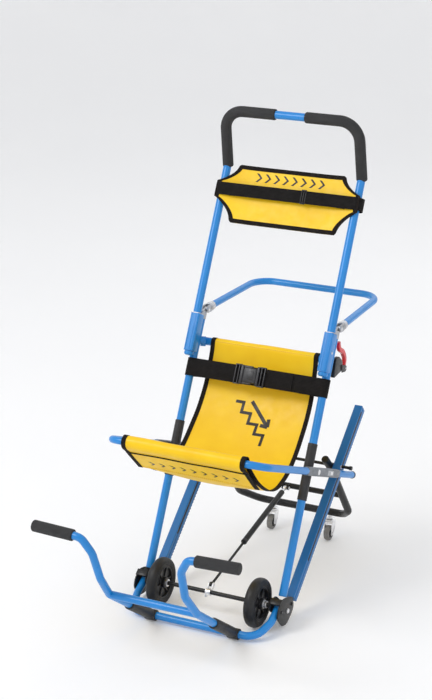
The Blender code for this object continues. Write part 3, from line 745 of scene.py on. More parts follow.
def print_shape(name, drape, quads, mat, body, steps=8):
    """Flat printed marks: each quad's corners are (x, s), laid on the cloth."""
    bm = bmesh.new()
    for corners in quads:
        a, b, c, d = (Vector(p) for p in corners)
        grid = []
        for height in (CLOTH / 2 + 0.0001, CLOTH / 2 + 0.00045):
            rows = []
            for j in range(steps + 1):
                left, right = a.lerp(d, j / steps), b.lerp(c, j / steps)
                rows.append([bm.verts.new(drape.point(*left.lerp(right, i / steps), height))
                             for i in range(steps + 1)])
            grid.append(rows)
        low, high = grid
        for j in range(steps):
            for i in range(steps):
                bm.faces.new((high[j][i], high[j][i + 1], high[j + 1][i + 1], high[j + 1][i]))
                bm.faces.new((low[j + 1][i], low[j + 1][i + 1], low[j][i + 1], low[j][i]))
        ring = [(0, i) for i in range(steps)] + [(j, steps) for j in range(steps)]
        ring += [(steps, steps - i) for i in range(steps)] + [(steps - j, 0) for j in range(steps)]
        for (j, i), (n, m) in zip(ring, ring[1:] + ring[:1]):
            bm.faces.new((high[j][i], low[j][i], low[n][m], high[n][m]))
    return finish_mesh(bm, name, mat, body)


def stairs_sign(centre_x, centre_s, size, steps=4):
    """A plain pictogram: a flight of steps with an arrow running down beside it."""
    unit = size / steps
    bar = size * 0.075
    quads = []
    for k in range(steps):
        x = centre_x - size / 2 + unit * k
        s = centre_s - size / 2 + unit * k
        quads.append([(x, s), (x + unit, s), (x + unit, s + bar), (x, s + bar)])
        quads.append([(x + unit - bar, s), (x + unit, s), (x + unit, s + unit + bar),
                      (x + unit - bar, s + unit + bar)])
    tail, tip = Vector((centre_x - size * 0.08, centre_s - size * 0.52)), \
        Vector((centre_x + size * 0.50, centre_s + size * 0.06))
    run = (tip - tail).normalized()
    off = Vector((-run.y, run.x)) * bar * 0.6
    quads.append([tail - off, tip - run * bar - off, tip - run * bar + off, tail + off])
    wing = Vector((-run.y, run.x))
    for side in (1, -1):
        end = tip - run * size * 0.16 + wing * side * size * 0.13
        across = (end - tip).normalized().orthogonal() * bar * 0.6
        quads.append([tip - across, end - across, end + across, tip + across])
    return quads


def chevron_row(centre_x, s, count, pitch, arm):
    """A row of plain chevrons as quads in (x, s)."""
    bar = arm * 0.55
    quads = []
    for k in range(count):
        x = centre_x + pitch * (k - (count - 1) / 2) - arm / 2
        quads.append([(x, s - arm), (x + bar, s - arm), (x + bar + arm, s), (x + arm, s)])
        quads.append([(x + arm, s), (x + bar + arm, s), (x + bar, s + arm), (x, s + arm)])
    return quads


# ---- headrest ----------------------------------------------------------------------------------
HEAD_LOW, HEAD_HIGH = 1.083, 1.248
HEAD_EAR = (1.150, 1.196)
HEAD_EDGE, HEAD_WIDEST = 0.013, 0.2375


def head_half(s):
    """Half width: straight ears at the strap, hollow curves above and below, and a small corner inset."""
    z = HEAD_HIGH - s * sin(RECLINE)
    if z > HEAD_EAR[1]:
        t = (z - HEAD_EAR[1]) / (HEAD_HIGH - HEAD_EAR[1])
    elif z < HEAD_EAR[0]:
        t = (HEAD_EAR[0] - z) / (HEAD_EAR[0] - HEAD_LOW)
    else:
        return HEAD_WIDEST
    corner = max(0.0, (t - 0.88) / 0.12)
    return HEAD_WIDEST - 0.060 * sin(pi / 2 * t) ** 0.8 - 0.006 * corner ** 2


def head_drape():
    line = [(handle_line(z), z) for z in (HEAD_HIGH, 1.20, 1.16, 1.12, HEAD_LOW)]

    def bow(u, s):
        x = abs(u) * head_half(s)
        forward = 0.0165 * max(0, (x - 0.10) / 0.135) ** 2
        return -forward - 0.002
    return Drape(smooth_curve(line, 8), head_half, bow, 0.0010)


HEAD = head_drape()


def headrest():
    whole = (lambda s: -head_half(s), lambda s: head_half(s))
    panel = patch("headrest_panel", HEAD, whole, (0, HEAD.length), (-0.0018, 0.0018), YELLOW, "handle",
                  48, 48)
    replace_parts(panel, "headrest")
    for tag, side in SIDES.items():
        patch("headrest_binding_" + tag, HEAD, edge_pair(HEAD, side, HEAD_EDGE, 0.001),
                           (0, HEAD.length), (-0.0029, 0.0029), BINDING, "handle", 4, 64)
    for tag, span in (("top", (0, HEAD_EDGE)), ("bottom", (HEAD.length - HEAD_EDGE, HEAD.length))):
        patch("headrest_binding_" + tag, HEAD, whole, span, (-0.0029, 0.0029), BINDING,
                           "handle", 48, 5)
    for k, s in enumerate((HEAD_EDGE + 0.004, HEAD.length - HEAD_EDGE - 0.004)):
        stitch_row("headrest_stitches_%d" % k, HEAD, s, 0.165, THREAD, "handle")
    mark = print_shape("headrest_print", HEAD, chevron_row(-0.006, 0.034, 8, 0.030, 0.0135), PRINT,
                       "handle", 3)
    mark.location = FRONTWARD * 0.0013


# ---- straps and buckles ------------------------------------------------------------------------
def ribbon(name, route, wide, width, thick, mat, body):
    """Flat webbing along the route, its width always along the direction wide."""
    wide = wide.normalized()
    bm = bmesh.new()
    layer = bm.loops.layers.uv.new("UVMap")
    section = rounded_section(width, thick, thick * 0.45, 2)
    rings, lengths, travelled = [], [], 0.0
    for i, (point, run) in enumerate(zip(route, tangents(route))):
        travelled += (point - route[i - 1]).length if i else 0
        lengths.append(travelled)
        out = run.cross(wide).normalized()
        rings.append([bm.verts.new(point + wide * a + out * b) for a, b in section])
    across = [a for a, _ in section]
    close_rings(bm, layer, rings, lengths, list(zip(across, across[1:] + across[:1])))
    return finish_mesh(bm, name, mat, body, 50)


def tube_wrap_angles(half_x, reach):
    """Points round the outside of a tube, from its inner back face to its front."""
    turns = [radians(degrees) for degrees in range(-150, 91, 30)]
    return [(half_x + reach * cos(turn), reach * sin(turn)) for turn in turns]


def belt_route(centre, half_x, tube_r, bow, tuck):
    reach = tube_r + WEB_THICK
    side = [(half_x - tuck, reach + bow * 0.4 - 0.0034), (half_x - tuck * 0.6, reach * 0.72),
            (half_x - reach * 1.5, -reach * 0.1)]
    side += tube_wrap_angles(half_x, reach)
    side += [(half_x * share, reach + bow * (1 - share ** 2)) for share in (0.8, 0.6, 0.3)]
    flat = side + [(0, reach + bow)] + [(-x, f) for x, f in reversed(side)]
    return smooth_curve([centre + ACROSS * x + FRONTWARD * f for x, f in flat], 4)


def lap_belt():
    height = 0.656
    centre = on_back(0, height)
    route = belt_route(centre, TUBE_X, TUBE_R, 0.003, 0.075)
    belt = ribbon("lap_belt_webbing", route, ALONG, 0.056, WEB_THICK, WEBBING, "frame")
    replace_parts(belt, "lap_belt")
    face = TUBE_R + WEB_THICK + 0.003
    drops = ((0.042, 0.0035), (0.062, 0.0028), (0.092, 0.0022), (0.114, 0.0020), (0.140, 0.0024))
    tail = [centre + ACROSS * (BUCKLE_X + x) + FRONTWARD * (face + lift) for x, lift in drops]
    ribbon("lap_belt_tail", smooth_curve(tail, 5), ALONG, 0.0555, WEB_TAIL, WEBBING, "frame")
    buckle(centre + ACROSS * BUCKLE_X + FRONTWARD * (face + 0.0065))


def buckle(centre):
    """Side-release buckle: a socket with side windows, the pronged half, and strap bars."""
    tilt = RECLINE - pi / 2

    def part(name, dx, size, lift=0.0, along=0.0, rounding=0.002):
        return block(name, centre + ACROSS * dx + FRONTWARD * lift + ALONG * along, size, BUCKLE,
                     "frame", tilt, rounding)
    socket = part("buckle_socket", 0.001, (0.044, 0.0135, 0.048), rounding=0.004)
    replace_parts(socket, "lap_buckle")
    part("buckle_socket_neck", 0.0265, (0.009, 0.0105, 0.060), rounding=0.003)
    part("buckle_prong_base", -0.0265, (0.011, 0.0110, 0.060), rounding=0.003)
    part("buckle_thumb_ridge", 0.004, (0.020, 0.0030, 0.026), 0.0064, rounding=0.0013)
    for side in (1, -1):
        tag = "upper" if side > 0 else "lower"
        part("buckle_prong_" + tag, -0.007, (0.030, 0.0085, 0.008), along=side * 0.0255, rounding=0.0026)
        for end in (1, -1):
            here = "socket" if end > 0 else "prong"
            part("buckle_rail_%s_%s" % (here, tag), end * 0.040, (0.022, 0.0080, 0.0040),
                 along=side * 0.0290, rounding=0.0014)
    for end in (1, -1):
        here = "socket" if end > 0 else "prong"
        for k, dx in enumerate((0.0375, 0.0485)):
            part("buckle_bar_%s_%d" % (here, k), end * dx, (0.0040, 0.0075, 0.060), 0.0005,
                 rounding=0.0014)


def head_strap():
    """Webbing across the headrest, looped round both handle tubes, with a slide adjuster."""
    height = 1.174
    centre = on_handle(0, height)
    route = belt_route(centre, HANDLE_X, TUBE_R + 0.0075, 0.000, 0.055)
    strap = ribbon("head_strap_webbing", route, ALONG, 0.040, WEB_THICK, WEBBING, "handle")
    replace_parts(strap, "head_strap")
    face = TUBE_R + 0.0093
    second = [centre + ACROSS * x + FRONTWARD * (face + 0.0024 - max(0, x - 0.15) * 0.04)
              for x in (0.040, 0.08, 0.12, 0.17, 0.206)]
    ribbon("head_strap_tail", smooth_curve(second, 5), ALONG, 0.0395, WEB_TAIL, WEBBING, "handle")
    for k, x in enumerate((0.052, 0.059, 0.066)):
        block("head_slider_bar_%d" % k, centre + ACROSS * x + FRONTWARD * (face + 0.0034),
              (0.0030, 0.0034, 0.043), PLASTIC, "handle", RECLINE - pi / 2, 0.0012)
    for side in (1, -1):
        block("head_slider_edge_%s" % ("upper" if side > 0 else "lower"),
              centre + ACROSS * 0.059 + FRONTWARD * (face + 0.0034) + ALONG * side * 0.0212,
              (0.017, 0.0034, 0.0030), PLASTIC, "handle", RECLINE - pi / 2, 0.0012)


# ---- frame tubes and fittings ------------------------------------------------------------------
def back_frame():
    for side, s in SIDES.items():
        ends = [on_back(s * TUBE_X, z) for z in (BACK_TUBE_BOTTOM, BACK_TUBE_TOP)]
        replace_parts(tube("back_tube_%s_coat" % side, ends, TUBE_R, BLUE, "frame"), "back_tube_" + side)
        ends = [on_back(s * TUBE_X, z) for z in RUBBER_SLEEVE_SPAN]
        skin = tube("rubber_sleeve_%s_skin" % side, ends, RUBBER_SLEEVE_R, SLEEVE_RUBBER, "frame", lip=0.0018)
        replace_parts(skin, "rubber_sleeve_" + side)
        telescope_sleeve(side, s)
    height = CROSSBAR_Z
    depth = back_line(height) + CROSSBAR_BEHIND
    bar = tube("back_crossbar_coat", run_across(-0.2243, 0.2243, (depth, height)), TUBE_R,
               BLUE, "frame")
    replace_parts(bar, "back_crossbar")
    for side, s in SIDES.items():
        sweep("crossbar_saddle_" + side,
              [at(s * 0.204, depth - 0.004, height), at(s * 0.218, depth - 0.012, height + 0.001)],
              circle(0.0155, 24), BLUE, "frame")


def telescope_sleeve(side, s):
    """Square section with three lengthwise ribs, a bright collar on top and a blue one and foot below."""
    middle = (SLEEVE_BOTTOM + SLEEVE_TOP) / 2
    depth_size = SLEEVE_HALF + HANDLE_OFFSET - TUBE_R - 0.0004
    half = (SLEEVE_TOP - SLEEVE_BOTTOM) / sin(RECLINE) / 2
    centre = on_handle(s * TUBE_X, middle) + FRONTWARD * (SLEEVE_HALF - depth_size / 2)
    outline = rounded_section(depth_size, 2 * SLEEVE_HALF, 0.004, 4)
    body = sweep("telescope_sleeve_%s_shell" % side,
                 [centre - ALONG * half, centre - ALONG * (half - 0.0006), centre + ALONG * (half - 0.0006),
                  centre + ALONG * half], outline, BLUE, "frame",
                 lambda i, count: 0.975 if i in (0, count - 1) else 1)
    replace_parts(body, "telescope_sleeve_" + side)
    face = centre + FRONTWARD * (depth_size / 2)
    for k, x in enumerate((-0.0098, -0.0030, 0.0104)):
        block("sleeve_rib_%s_%d" % (side, k), face + ACROSS * s * x, (0.0022, 0.0020, 2 * half - 0.004),
              BLUE, "frame", RECLINE - pi / 2, 0.0005)
    axis_top = on_handle(s * HANDLE_X, SLEEVE_TOP)
    axis_low = on_handle(s * HANDLE_X, SLEEVE_BOTTOM)
    for tag, place, way in (("top", axis_top, 1), ("foot", axis_low, -1)):
        ring = sweep("sleeve_collar_%s_%s" % (side, tag), [place, place + ALONG * way * 0.0022],
                     rounded_section(0.0306, 0.0300, 0.005, 4), ALLOY if tag == "top" else BLUE, "frame")
    sweep("sleeve_foot_" + side, [axis_low - ALONG * 0.004, axis_low - ALONG * 0.013],
          circle(0.0148, 28), BLUE, "frame")
    disc("sleeve_screw_" + side, [(0, 0), (0.004, 0), (0.0038, 0.0012), (0.0022, 0.002), (0, 0.0021)],
         centre + ACROSS * s * SLEEVE_HALF, ZINC, "frame", ACROSS * s, 20)


def foot_brackets():
    outline = rounded_outline([(-0.024, 0.076), (-0.030, 0.050), (0.004, 0.012), (0.036, 0.006),
                               (0.074, 0.028), (0.088, 0.046), (0.078, 0.079), (0.030, 0.095),
                               (0.002, 0.098)], 0.012)
    small = rounded_outline([(-0.012, 0.0849), (-0.016, 0.066), (0.000, 0.052), (0.034, 0.037),
                             (0.054, 0.046), (0.058, 0.070), (0.030, 0.094), (0.004, 0.096)], 0.008)
    for side, s in SIDES.items():
        cheek = plate("foot_bracket_%s_cheek" % side, outline, s * CHEEK_OUT[0], s * CHEEK_OUT[1],
                      BLACK_STEEL, "frame")
        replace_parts(cheek, "foot_bracket_" + side)
        plate("foot_bracket_%s_inner" % side, small, s * CHEEK_IN[0], s * CHEEK_IN[1], BLACK_STEEL, "frame")
        strap = [(-0.012, 0.0835), (-0.0155, 0.0895), (0.000, 0.1020), (0.005, 0.0955)]
        plate("foot_bracket_%s_web" % side, strap, s * CHEEK_IN[0], s * CHEEK_OUT[1], BLACK_STEEL, "frame")
        head = [(0, 0), (0.0075, 0), (0.0075, 0.0025), (0.0060, 0.0042), (0, 0.0048)]
        for k, spot in enumerate((FOOT_PIVOT, (-0.004, 0.062), (0.070, 0.058))):
            size = 1.0 if k == 0 else 0.7
            bolt = disc("foot_bolt_%s_%d" % (side, k), [(r * size, a * size) for r, a in head],
                        at(s * CHEEK_OUT[1], *spot), ZINC if k == 0 else BLACK_STEEL, "frame", ACROSS * s, 24)
        tube("foot_pivot_barrel_" + side, run_across(s * CHEEK_IN[1], s * CHEEK_OUT[0], FOOT_PIVOT),
             0.0052, ZINC, "frame", lip=0.0003, sides=20)


def foot_bar():
    depth, height = FOOT_BAR
    points = [at(0.2235, 0.012, 0.067), at(0.2235, -0.036, 0.040), at(0.206, depth, height)]
    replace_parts(tube("foot_bar_coat", points + mirrored(points), SLIM_R, BLUE, "frame", 0.055), "foot_bar")


def release_lever():
    housing = rounded_outline([(0.378, 0.736), (0.404, 0.735), (0.430, 0.713), (0.430, 0.694),
                               (0.424, 0.684), (0.364, 0.677)], 0.006)
    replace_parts(plate("lever_housing_shell", housing, 0.2255, 0.2375, PLASTIC, "frame", 0.0015),
                "lever_housing")
    spine = smooth_curve([at(0.2315, d + 0.010, z) for d, z in ((0.398, 0.779), (0.402, 0.757),
                          (0.430, 0.738), (0.446, 0.712), (0.441, 0.684))], 8)
    blade = sweep("release_lever_blade", spine, rounded_section(0.0150, 0.0118, 0.003, 4), RED, "lever",
                  lambda i, count: 0.80 + 0.22 * sin(pi * i / (count - 1)))
    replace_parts(blade, "release_lever")
    lug = rounded_outline([(0.418, 0.704), (0.450, 0.695), (0.459, 0.687), (0.457, 0.677), (0.447, 0.674),
                           (0.418, 0.679)], 0.005)
    for tag, low, high in (("inner", 0.2234, 0.2250), ("outer", 0.2380, 0.2396)):
        plate("lever_lug_" + tag, lug, low, high, PLASTIC, "frame")
    tube("lever_pin", run_across(0.2226, 0.2404, LEVER_PIVOT), 0.0028, ZINC, "frame",
         lip=0.0004, sides=20)


# ---- wheels ------------------------------------------------------------------------------------
def ribbed_tyre_profile():
    """Tyre section with grooved side walls: (radius, side) pairs round the rubber."""
    outer = [(0.0500, 0.0125), (0.0530, 0.0150), (0.0545, 0.0158), (0.0552, 0.0150), (0.0570, 0.0150),
             (0.0577, 0.0160), (0.0592, 0.0161), (0.0599, 0.0151), (0.0617, 0.0151), (0.0624, 0.0160),
             (0.0640, 0.0159), (0.0647, 0.0149), (0.0662, 0.0148), (0.0669, 0.0156), (0.0688, 0.0150),
             (0.0708, 0.0132), (0.0727, 0.0105), (0.0741, 0.0070), (0.0748, 0.0036), (0.0750, 0.0)]
    return both_sides(outer) + [(0.0485, 0.0)]


def hub_profile():
    outer = [(0.0072, 0.0190), (0.0150, 0.0190), (0.0165, 0.0178), (0.0175, 0.0080), (0.0200, 0.0060),
             (0.0405, 0.0050), (0.0440, 0.0062), (0.0455, 0.0128), (0.0470, 0.0140), (0.0492, 0.0134),
             (0.0496, 0.0110)]
    return both_sides(outer + [(0.0480, 0.0)])


def front_wheel(side, s):
    body = "wheel_" + side
    centre = at(s * WHEEL_X, 0, WHEEL_R)
    tyre = turned("front_tyre_%s_tread" % side, ribbed_tyre_profile(), centre, TYRE, body, 96)
    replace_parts(tyre, "front_tyre_" + side)
    hub = turned("front_hub_%s_web" % side, hub_profile(), centre, PLASTIC, body, 72)
    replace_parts(hub, "front_hub_" + side)
    for k in range(6):
        turn = 2 * pi * k / 6
        for face in (1, -1):
            inner = centre + Vector((face * 0.0068, 0.0170 * cos(turn), 0.0170 * sin(turn)))
            outer = centre + Vector((face * 0.0080, 0.0450 * cos(turn), 0.0450 * sin(turn)))
            sweep("hub_rib_%s_%d_%d" % (side, k, face), [inner, outer],
                  rounded_section(0.0055, 0.0055, 0.0012, 2), PLASTIC, body)
    boss = [(0.0067, 0.0192), (0.0125, 0.0192), (0.0132, 0.0200), (0.0132, 0.0222), (0.0108, 0.0226),
            (0.0108, 0.0300), (0.0100, 0.0310), (0.0067, 0.0310)]
    nut = turned("axle_nut_%s_sleeve" % side, [(r, s * x) for r, x in boss], centre, ZINC, "frame", 48)
    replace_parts(nut, "axle_nut_" + side)
    inner_boss = [(0.0067, -0.0192), (0.0118, -0.0192), (0.0118, -0.0245), (0.0105, -0.0255),
                  (0.0067, -0.0255)]
    turned("axle_collar_" + side, [(r, s * x) for r, x in inner_boss], centre, ZINC, "frame", 40)


def axle():
    half = TUBE_X - 0.018
    bar = tube("axle_coat", run_across(-half, half, (0, WHEEL_R)), AXLE_R, BLACK_STEEL, "frame",
               lip=0.0008)
    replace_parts(bar, "axle")
    clamp = sweep("axle_clamp_band", run_across(-0.008, 0.008, (0, WHEEL_R)), circle(0.0105, 32),
                  ZINC, "frame")
    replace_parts(clamp, "axle_clamp")
    for s in (1, -1):
        plate("clamp_ear_%d" % s, rounded_outline([(0.004, 0.066), (0.024, 0.082), (0.028, 0.094),
              (0.018, 0.100), (0.006, 0.086)], 0.004), s * 0.0052, s * 0.0076, ZINC, "frame")
    tube("clamp_pin", run_across(-0.0105, 0.0105, STRUT_FOOT), 0.0030, ZINC, "frame",
         lip=0.0006)
    disc("clamp_nut", [(0, 0), (0.0058, 0), (0.0058, 0.005), (0, 0.005)], at(-0.0105, 0, 0.062), ZINC,
         "frame", ACROSS, 6)


# ---- push handle -------------------------------------------------------------------------------
def push_handle():
    low = on_handle(HANDLE_X, HANDLE_FOOT)
    kink = on_handle(HANDLE_X, HANDLE_KINK)
    corner = at(HANDLE_X - 0.003, *HANDLE_TOP)
    half = [low, kink, corner]
    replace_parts(tube("handle_tube_coat", half + mirrored(half), TUBE_R, BLUE, "handle", 0.062),
                "handle_tube")
    start = kink.lerp(corner, -0.05)
    for side, s in SIDES.items():
        points = [Vector((s * p.x, p.y, p.z)) for p in (start, corner, Vector((0.049, corner.y, corner.z)))]
        grip = tube("push_grip_%s_foam" % side, points, GRIP_R, FOAM, "handle", 0.062, 0.004, 0.012, 32)
        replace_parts(grip, "push_grip_" + side)


# ---- seat frame --------------------------------------------------------------------------------
def arm_point(depth):
    rise = (SEAT_FRONT[1] - SEAT_PIVOT[1]) / (SEAT_PIVOT[0] - SEAT_FRONT[0])
    return depth, SEAT_PIVOT[1] + (SEAT_PIVOT[0] - depth) * rise


def seat_frame():
    link_front, link_back = 0.140, 0.375
    arm = [at(ARM_X, *arm_point(link_front)), at(ARM_X, *SEAT_FRONT)]
    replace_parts(tube("seat_frame_coat", arm + mirrored(arm), ARM_R, BLUE, "seat", 0.045), "seat_frame")
    slope = -atan2(SEAT_FRONT[1] - SEAT_PIVOT[1], SEAT_PIVOT[0] - SEAT_FRONT[0])
    run = Vector((0, cos(slope), sin(slope)))
    for side, s in SIDES.items():
        front, back = at(s * ARM_X, *arm_point(link_front)), at(s * ARM_X, *arm_point(link_back))
        line = resampled([front - run * 0.002, back + run * 0.002], 0.012)
        section = rounded_section(0.0268, 0.0218, 0.0085, 6)
        link = sweep("arm_link_%s_body" % side, line, section, LINK_GREY, "seat",
                     lambda i, count: 0.94 if i in (0, count - 1) else 1)
        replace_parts(link, "arm_link_" + side)
        pivot = at(s * (ARM_X + 0.0107), *SEAT_PIVOT)
        slot_at = at(s * (ARM_X + 0.0112), *arm_point(0.300))
        block("arm_slot_" + side, slot_at, (0.0012, 0.044, 0.0150), ALLOY, "seat", slope, 0.0005)
        block("arm_catch_" + side, slot_at + ACROSS * s * 0.0014 + run * 0.004, (0.0030, 0.013, 0.0090),
              ZINC, "seat", slope, 0.001)
        head = [(0, 0), (0.0085, 0), (0.0080, 0.0012), (0.0050, 0.0020), (0, 0.0022)]
        disc("arm_rivet_" + side, head, pivot, ZINC, "seat", ACROSS * s, 28)
        end = at(s * ARM_X, *arm_point(ARM_END[0]))
        tail = tube("arm_tail_%s_coat" % side, [back, end - run * 0.0008], ARM_R, BLUE, "seat")
        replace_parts(tail, "arm_tail_" + side)
        tube("arm_plug_" + side, [end - run * 0.0075, end + run * 0.0030], ARM_R + 0.0009, PLASTIC,
             "seat", lip=0.0030, spacing=0.003)


# ---- track rails -------------------------------------------------------------------------------
def rail_point(distance, inward=0.0):
    depth = RAIL_FACE_FOOT[0] + distance * cos(RAIL_SLOPE) + inward * sin(RAIL_SLOPE)
    return depth, RAIL_FACE_FOOT[1] + distance * sin(RAIL_SLOPE) - inward * cos(RAIL_SLOPE)


RAIL_HALF, RAIL_GROOVE = 0.013, 0.0012
GROOVE_SPAN = (-0.0005, 0.0100)


def rail_section():
    """Extruded channel: (towards the front face, X) pairs, with a shallow groove along both sides."""
    low, high = GROOVE_SPAN
    floor_x = RAIL_HALF - RAIL_GROOVE
    side = [(0.015, RAIL_HALF - 0.0016), (0.0135, RAIL_HALF), (high + 0.0004, RAIL_HALF), (high, floor_x),
            (low, floor_x), (low - 0.0004, RAIL_HALF), (-0.015, RAIL_HALF)]
    return side + [(a, -b) for a, b in reversed(side)]


def track_rail(side, s):
    low, high, height = -0.050, 0.625, 0.030
    ends = [at(s * RAIL_X, *rail_point(d, height / 2)) for d in (low, high)]
    rail = sweep("track_rail_%s_channel" % side, ends, rail_section(), RAIL_BLUE, "rails", smooth_angle=20)
    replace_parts(rail, "track_rail_" + side)
    # painted shade: a thin black rubber strip laid along each side groove, where the groove holds only shade
    for tag, face in (("outer", s), ("inner", -s)):
        middle = at(s * RAIL_X + face * (RAIL_HALF - RAIL_GROOVE + 0.0002), *rail_point(0.345, 0.0103))
        block("rail_groove_shade_%s_%s" % (side, tag), middle, (0.0014, 0.530, 0.0100), RUBBER, "rails",
              RAIL_SLOPE, 0.0004)
    plate("rail_lug_" + side, rounded_outline([(FOOT_PIVOT[0] - 0.014, FOOT_PIVOT[1] + 0.002),
          (0.036, 0.062), (0.092, 0.064), (0.114, 0.050), (0.046, 0.032), (0.030, 0.036)], 0.006),
          s * (RAIL_X - 0.006), s * (RAIL_X + 0.006), BLACK_STEEL, "rails")
    disc("rail_rivet_" + side, [(0, 0), (0.0065, 0), (0.0060, 0.0014), (0.0030, 0.0022), (0, 0.0024)],
         at(s * (RAIL_X + 0.0125), *rail_point(0.405, 0.006)), ZINC, "rails", ACROSS * s, 24)
    block("rail_end_cap_" + side, at(s * RAIL_X, *rail_point(high + 0.0012, height / 2)),
          (0.0250, 0.0024, 0.0290), RAIL_BLUE, "rails", RAIL_SLOPE, 0.0009)
    track_belt(side, s, low + 0.012, high - 0.010, height)


def track_belt(side, s, low, high, rail_height):
    """Moulded rubber track: a flat carcass with close cross lugs."""
    base = rail_height + 0.0022
    ends = [at(s * RAIL_X, *rail_point(d, base)) for d in (low + 0.004, high - 0.004)]
    belt = sweep("track_belt_%s_carcass" % side, ends, rounded_section(0.0040, 0.0210, 0.0015, 3), RUBBER,
                 "rails")
    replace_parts(belt, "track_belt_" + side)
    bm = bmesh.new()
    turn = Matrix.Rotation(RAIL_SLOPE, 4, "X")
    scale = Matrix.Diagonal((0.0205, 0.0055, 0.0040, 1))
    count = 58
    for k in range(count):
        d = low + 0.010 + (high - low - 0.020) * k / (count - 1)
        spot = at(s * RAIL_X, *rail_point(d, base + 0.0032))
        bmesh.ops.create_cube(bm, size=1, matrix=Matrix.Translation(spot) @ turn @ scale)
    finish_mesh(bm, "track_lugs_" + side, RUBBER, "rails", 20)


def cross_rod():
    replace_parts(tube("cross_rod_coat", run_across(-0.271, 0.271, ROD), 0.0048, BLACK_STEEL, "rails",
                    lip=0.0010), "cross_rod")
    for side, s in SIDES.items():
        tube("cross_rod_cap_" + side, run_across(s * 0.262, s * 0.2715, ROD), 0.0066, PLASTIC,
             "rails", lip=0.0015)


# ---- kickstand and casters ---------------------------------------------------------------------
def kickstand():
    leg = [(0.410, 0.394), (0.461, 0.345), (0.616, 0.142)]
    points = [at(KICK_X, *p) for p in leg] + [at(0.150, *KICK_BAR)]
    stand = tube("kickstand_coat", points + mirrored(points), 0.012, BLACK_STEEL, "kick", 0.045, 0.003)
    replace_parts(stand, "kickstand")
    tube("kickstand_brace", run_across(-KICK_X, KICK_X, BRACE), 0.009,
         BLACK_STEEL, "kick")
    for s in (1, -1):
        outline = rounded_outline([(0.570, 0.222), (0.570, 0.203), (0.552, 0.202), (0.543, 0.211),
                                   (0.552, 0.221)], 0.004)
        plate("strut_ear_%d" % s, outline, s * 0.0080, s * 0.0110, BLACK_STEEL, "kick")
        head = [(0, 0), (0.0050, 0), (0.0050, 0.0030), (0.0035, 0.0042), (0, 0.0044)]
        disc("strut_bolt_%d" % s, head, at(s * 0.0110, *STRUT_HEAD), ZINC, "kick", ACROSS * s, 6)
    for side, s in SIDES.items():
        tube("kick_bush_" + side, run_across(s * 0.1815, s * 0.2085, ROD), 0.0075, PLASTIC,
             "kick", lip=0.001)


def caster(side, s):
    depth = KICK_BAR[0]
    swivel = "caster_" + side
    x = s * CASTER_X
    head = [(0, 0.0594), (0.0165, 0.0594), (0.0180, 0.0610), (0.0180, 0.0650), (0.0150, 0.0662),
            (0.0165, 0.0674), (0.0165, 0.0712), (0.0140, 0.0722), (0.0080, 0.0726), (0.0070, 0.0800),
            (0, 0.0800)]
    race = disc("caster_race_" + side, head, at(x, depth, 0), ZINC, swivel, Vector((0, 0, 1)), 40)
    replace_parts(race, "caster_fork_" + side)
    wheel_at = at(x, depth - CASTER_TRAIL, CASTER_R)
    for face in (1, -1):
        outline = rounded_outline([(depth - 0.016, 0.0625), (depth + 0.015, 0.0625), (depth + 0.013, 0.046),
                                   (depth + 0.000, 0.0225), (depth - CASTER_TRAIL, 0.0155),
                                   (depth - CASTER_TRAIL - 0.010, 0.0215), (depth - 0.019, 0.046)], 0.006)
        plate("caster_cheek_%s_%d" % (side, face), outline, x + face * 0.0118, x + face * 0.0138,
              ZINC, swivel)
        bolt = [(0, 0), (0.0055, 0), (0.0055, 0.0032), (0, 0.0038)]
        disc("caster_bolt_%s_%d" % (side, face), bolt, wheel_at + ACROSS * face * 0.0138, ZINC,
             swivel, ACROSS * face, 6)
    block("caster_crown_" + side, at(x, depth, 0.0615), (0.0276, 0.032, 0.0026), ZINC, swivel, 0, 0.001)
    tube("caster_pin_" + side, [wheel_at - ACROSS * 0.0125, wheel_at + ACROSS * 0.0125], 0.0034, ZINC,
         swivel, lip=0.0003)
    tread = both_sides([(0.0162, -0.0088), (0.0215, -0.0092), (0.0240, -0.0075), (0.0249, -0.0035),
                        (0.0250, 0)])
    roller = "caster_roller_" + side
    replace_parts(turned("caster_wheel_%s_tread" % side, tread, wheel_at, CASTER_GREY, roller, 48),
                "caster_wheel_" + side)
    rim = [(0.0042, -0.0100), (0.0080, -0.0100), (0.0090, -0.0060), (0.0140, -0.0055), (0.0160, -0.0088),
           (0.0168, -0.0086), (0.0168, 0.0086), (0.0160, 0.0088), (0.0140, 0.0055), (0.0090, 0.0060),
           (0.0080, 0.0100), (0.0042, 0.0100)]
    turned("caster_rim_" + side, rim, wheel_at, PLASTIC, roller, 48)


def gas_strut():
    foot, head = at(0, *STRUT_FOOT), at(0, *STRUT_HEAD)
    run = (head - foot).normalized()
    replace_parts(tube("strut_rod_coat", [foot, foot + run * 0.300], 0.004, BLACK_STEEL, "strut_lower",
                    lip=0.0005, sides=20), "strut_rod")
    disc("strut_foot_eye", both_sides([(0, -0.0045), (0.0070, -0.0045), (0.0078, 0)]),
         foot, BLACK_STEEL, "strut_lower", ACROSS, 28)
    start, end = foot + run * 0.226, head - run * 0.026
    body = tube("strut_cylinder_coat", [start + run * 0.008, end], 0.0088, BLACK_STEEL, "strut_upper",
                lip=0.0022)
    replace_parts(body, "strut_cylinder")
    tube("strut_collar", [start, start + run * 0.012], 0.0094, PLASTIC, "strut_upper", lip=0.002)
    tube("strut_neck", [end - run * 0.002, head - run * 0.012], 0.0048, ZINC, "strut_upper", lip=0.0005)
    disc("strut_head_eye", both_sides([(0, -0.0050), (0.0068, -0.0050), (0.0075, 0)]),
         head - run * 0.003, ZINC, "strut_upper", ACROSS, 28)


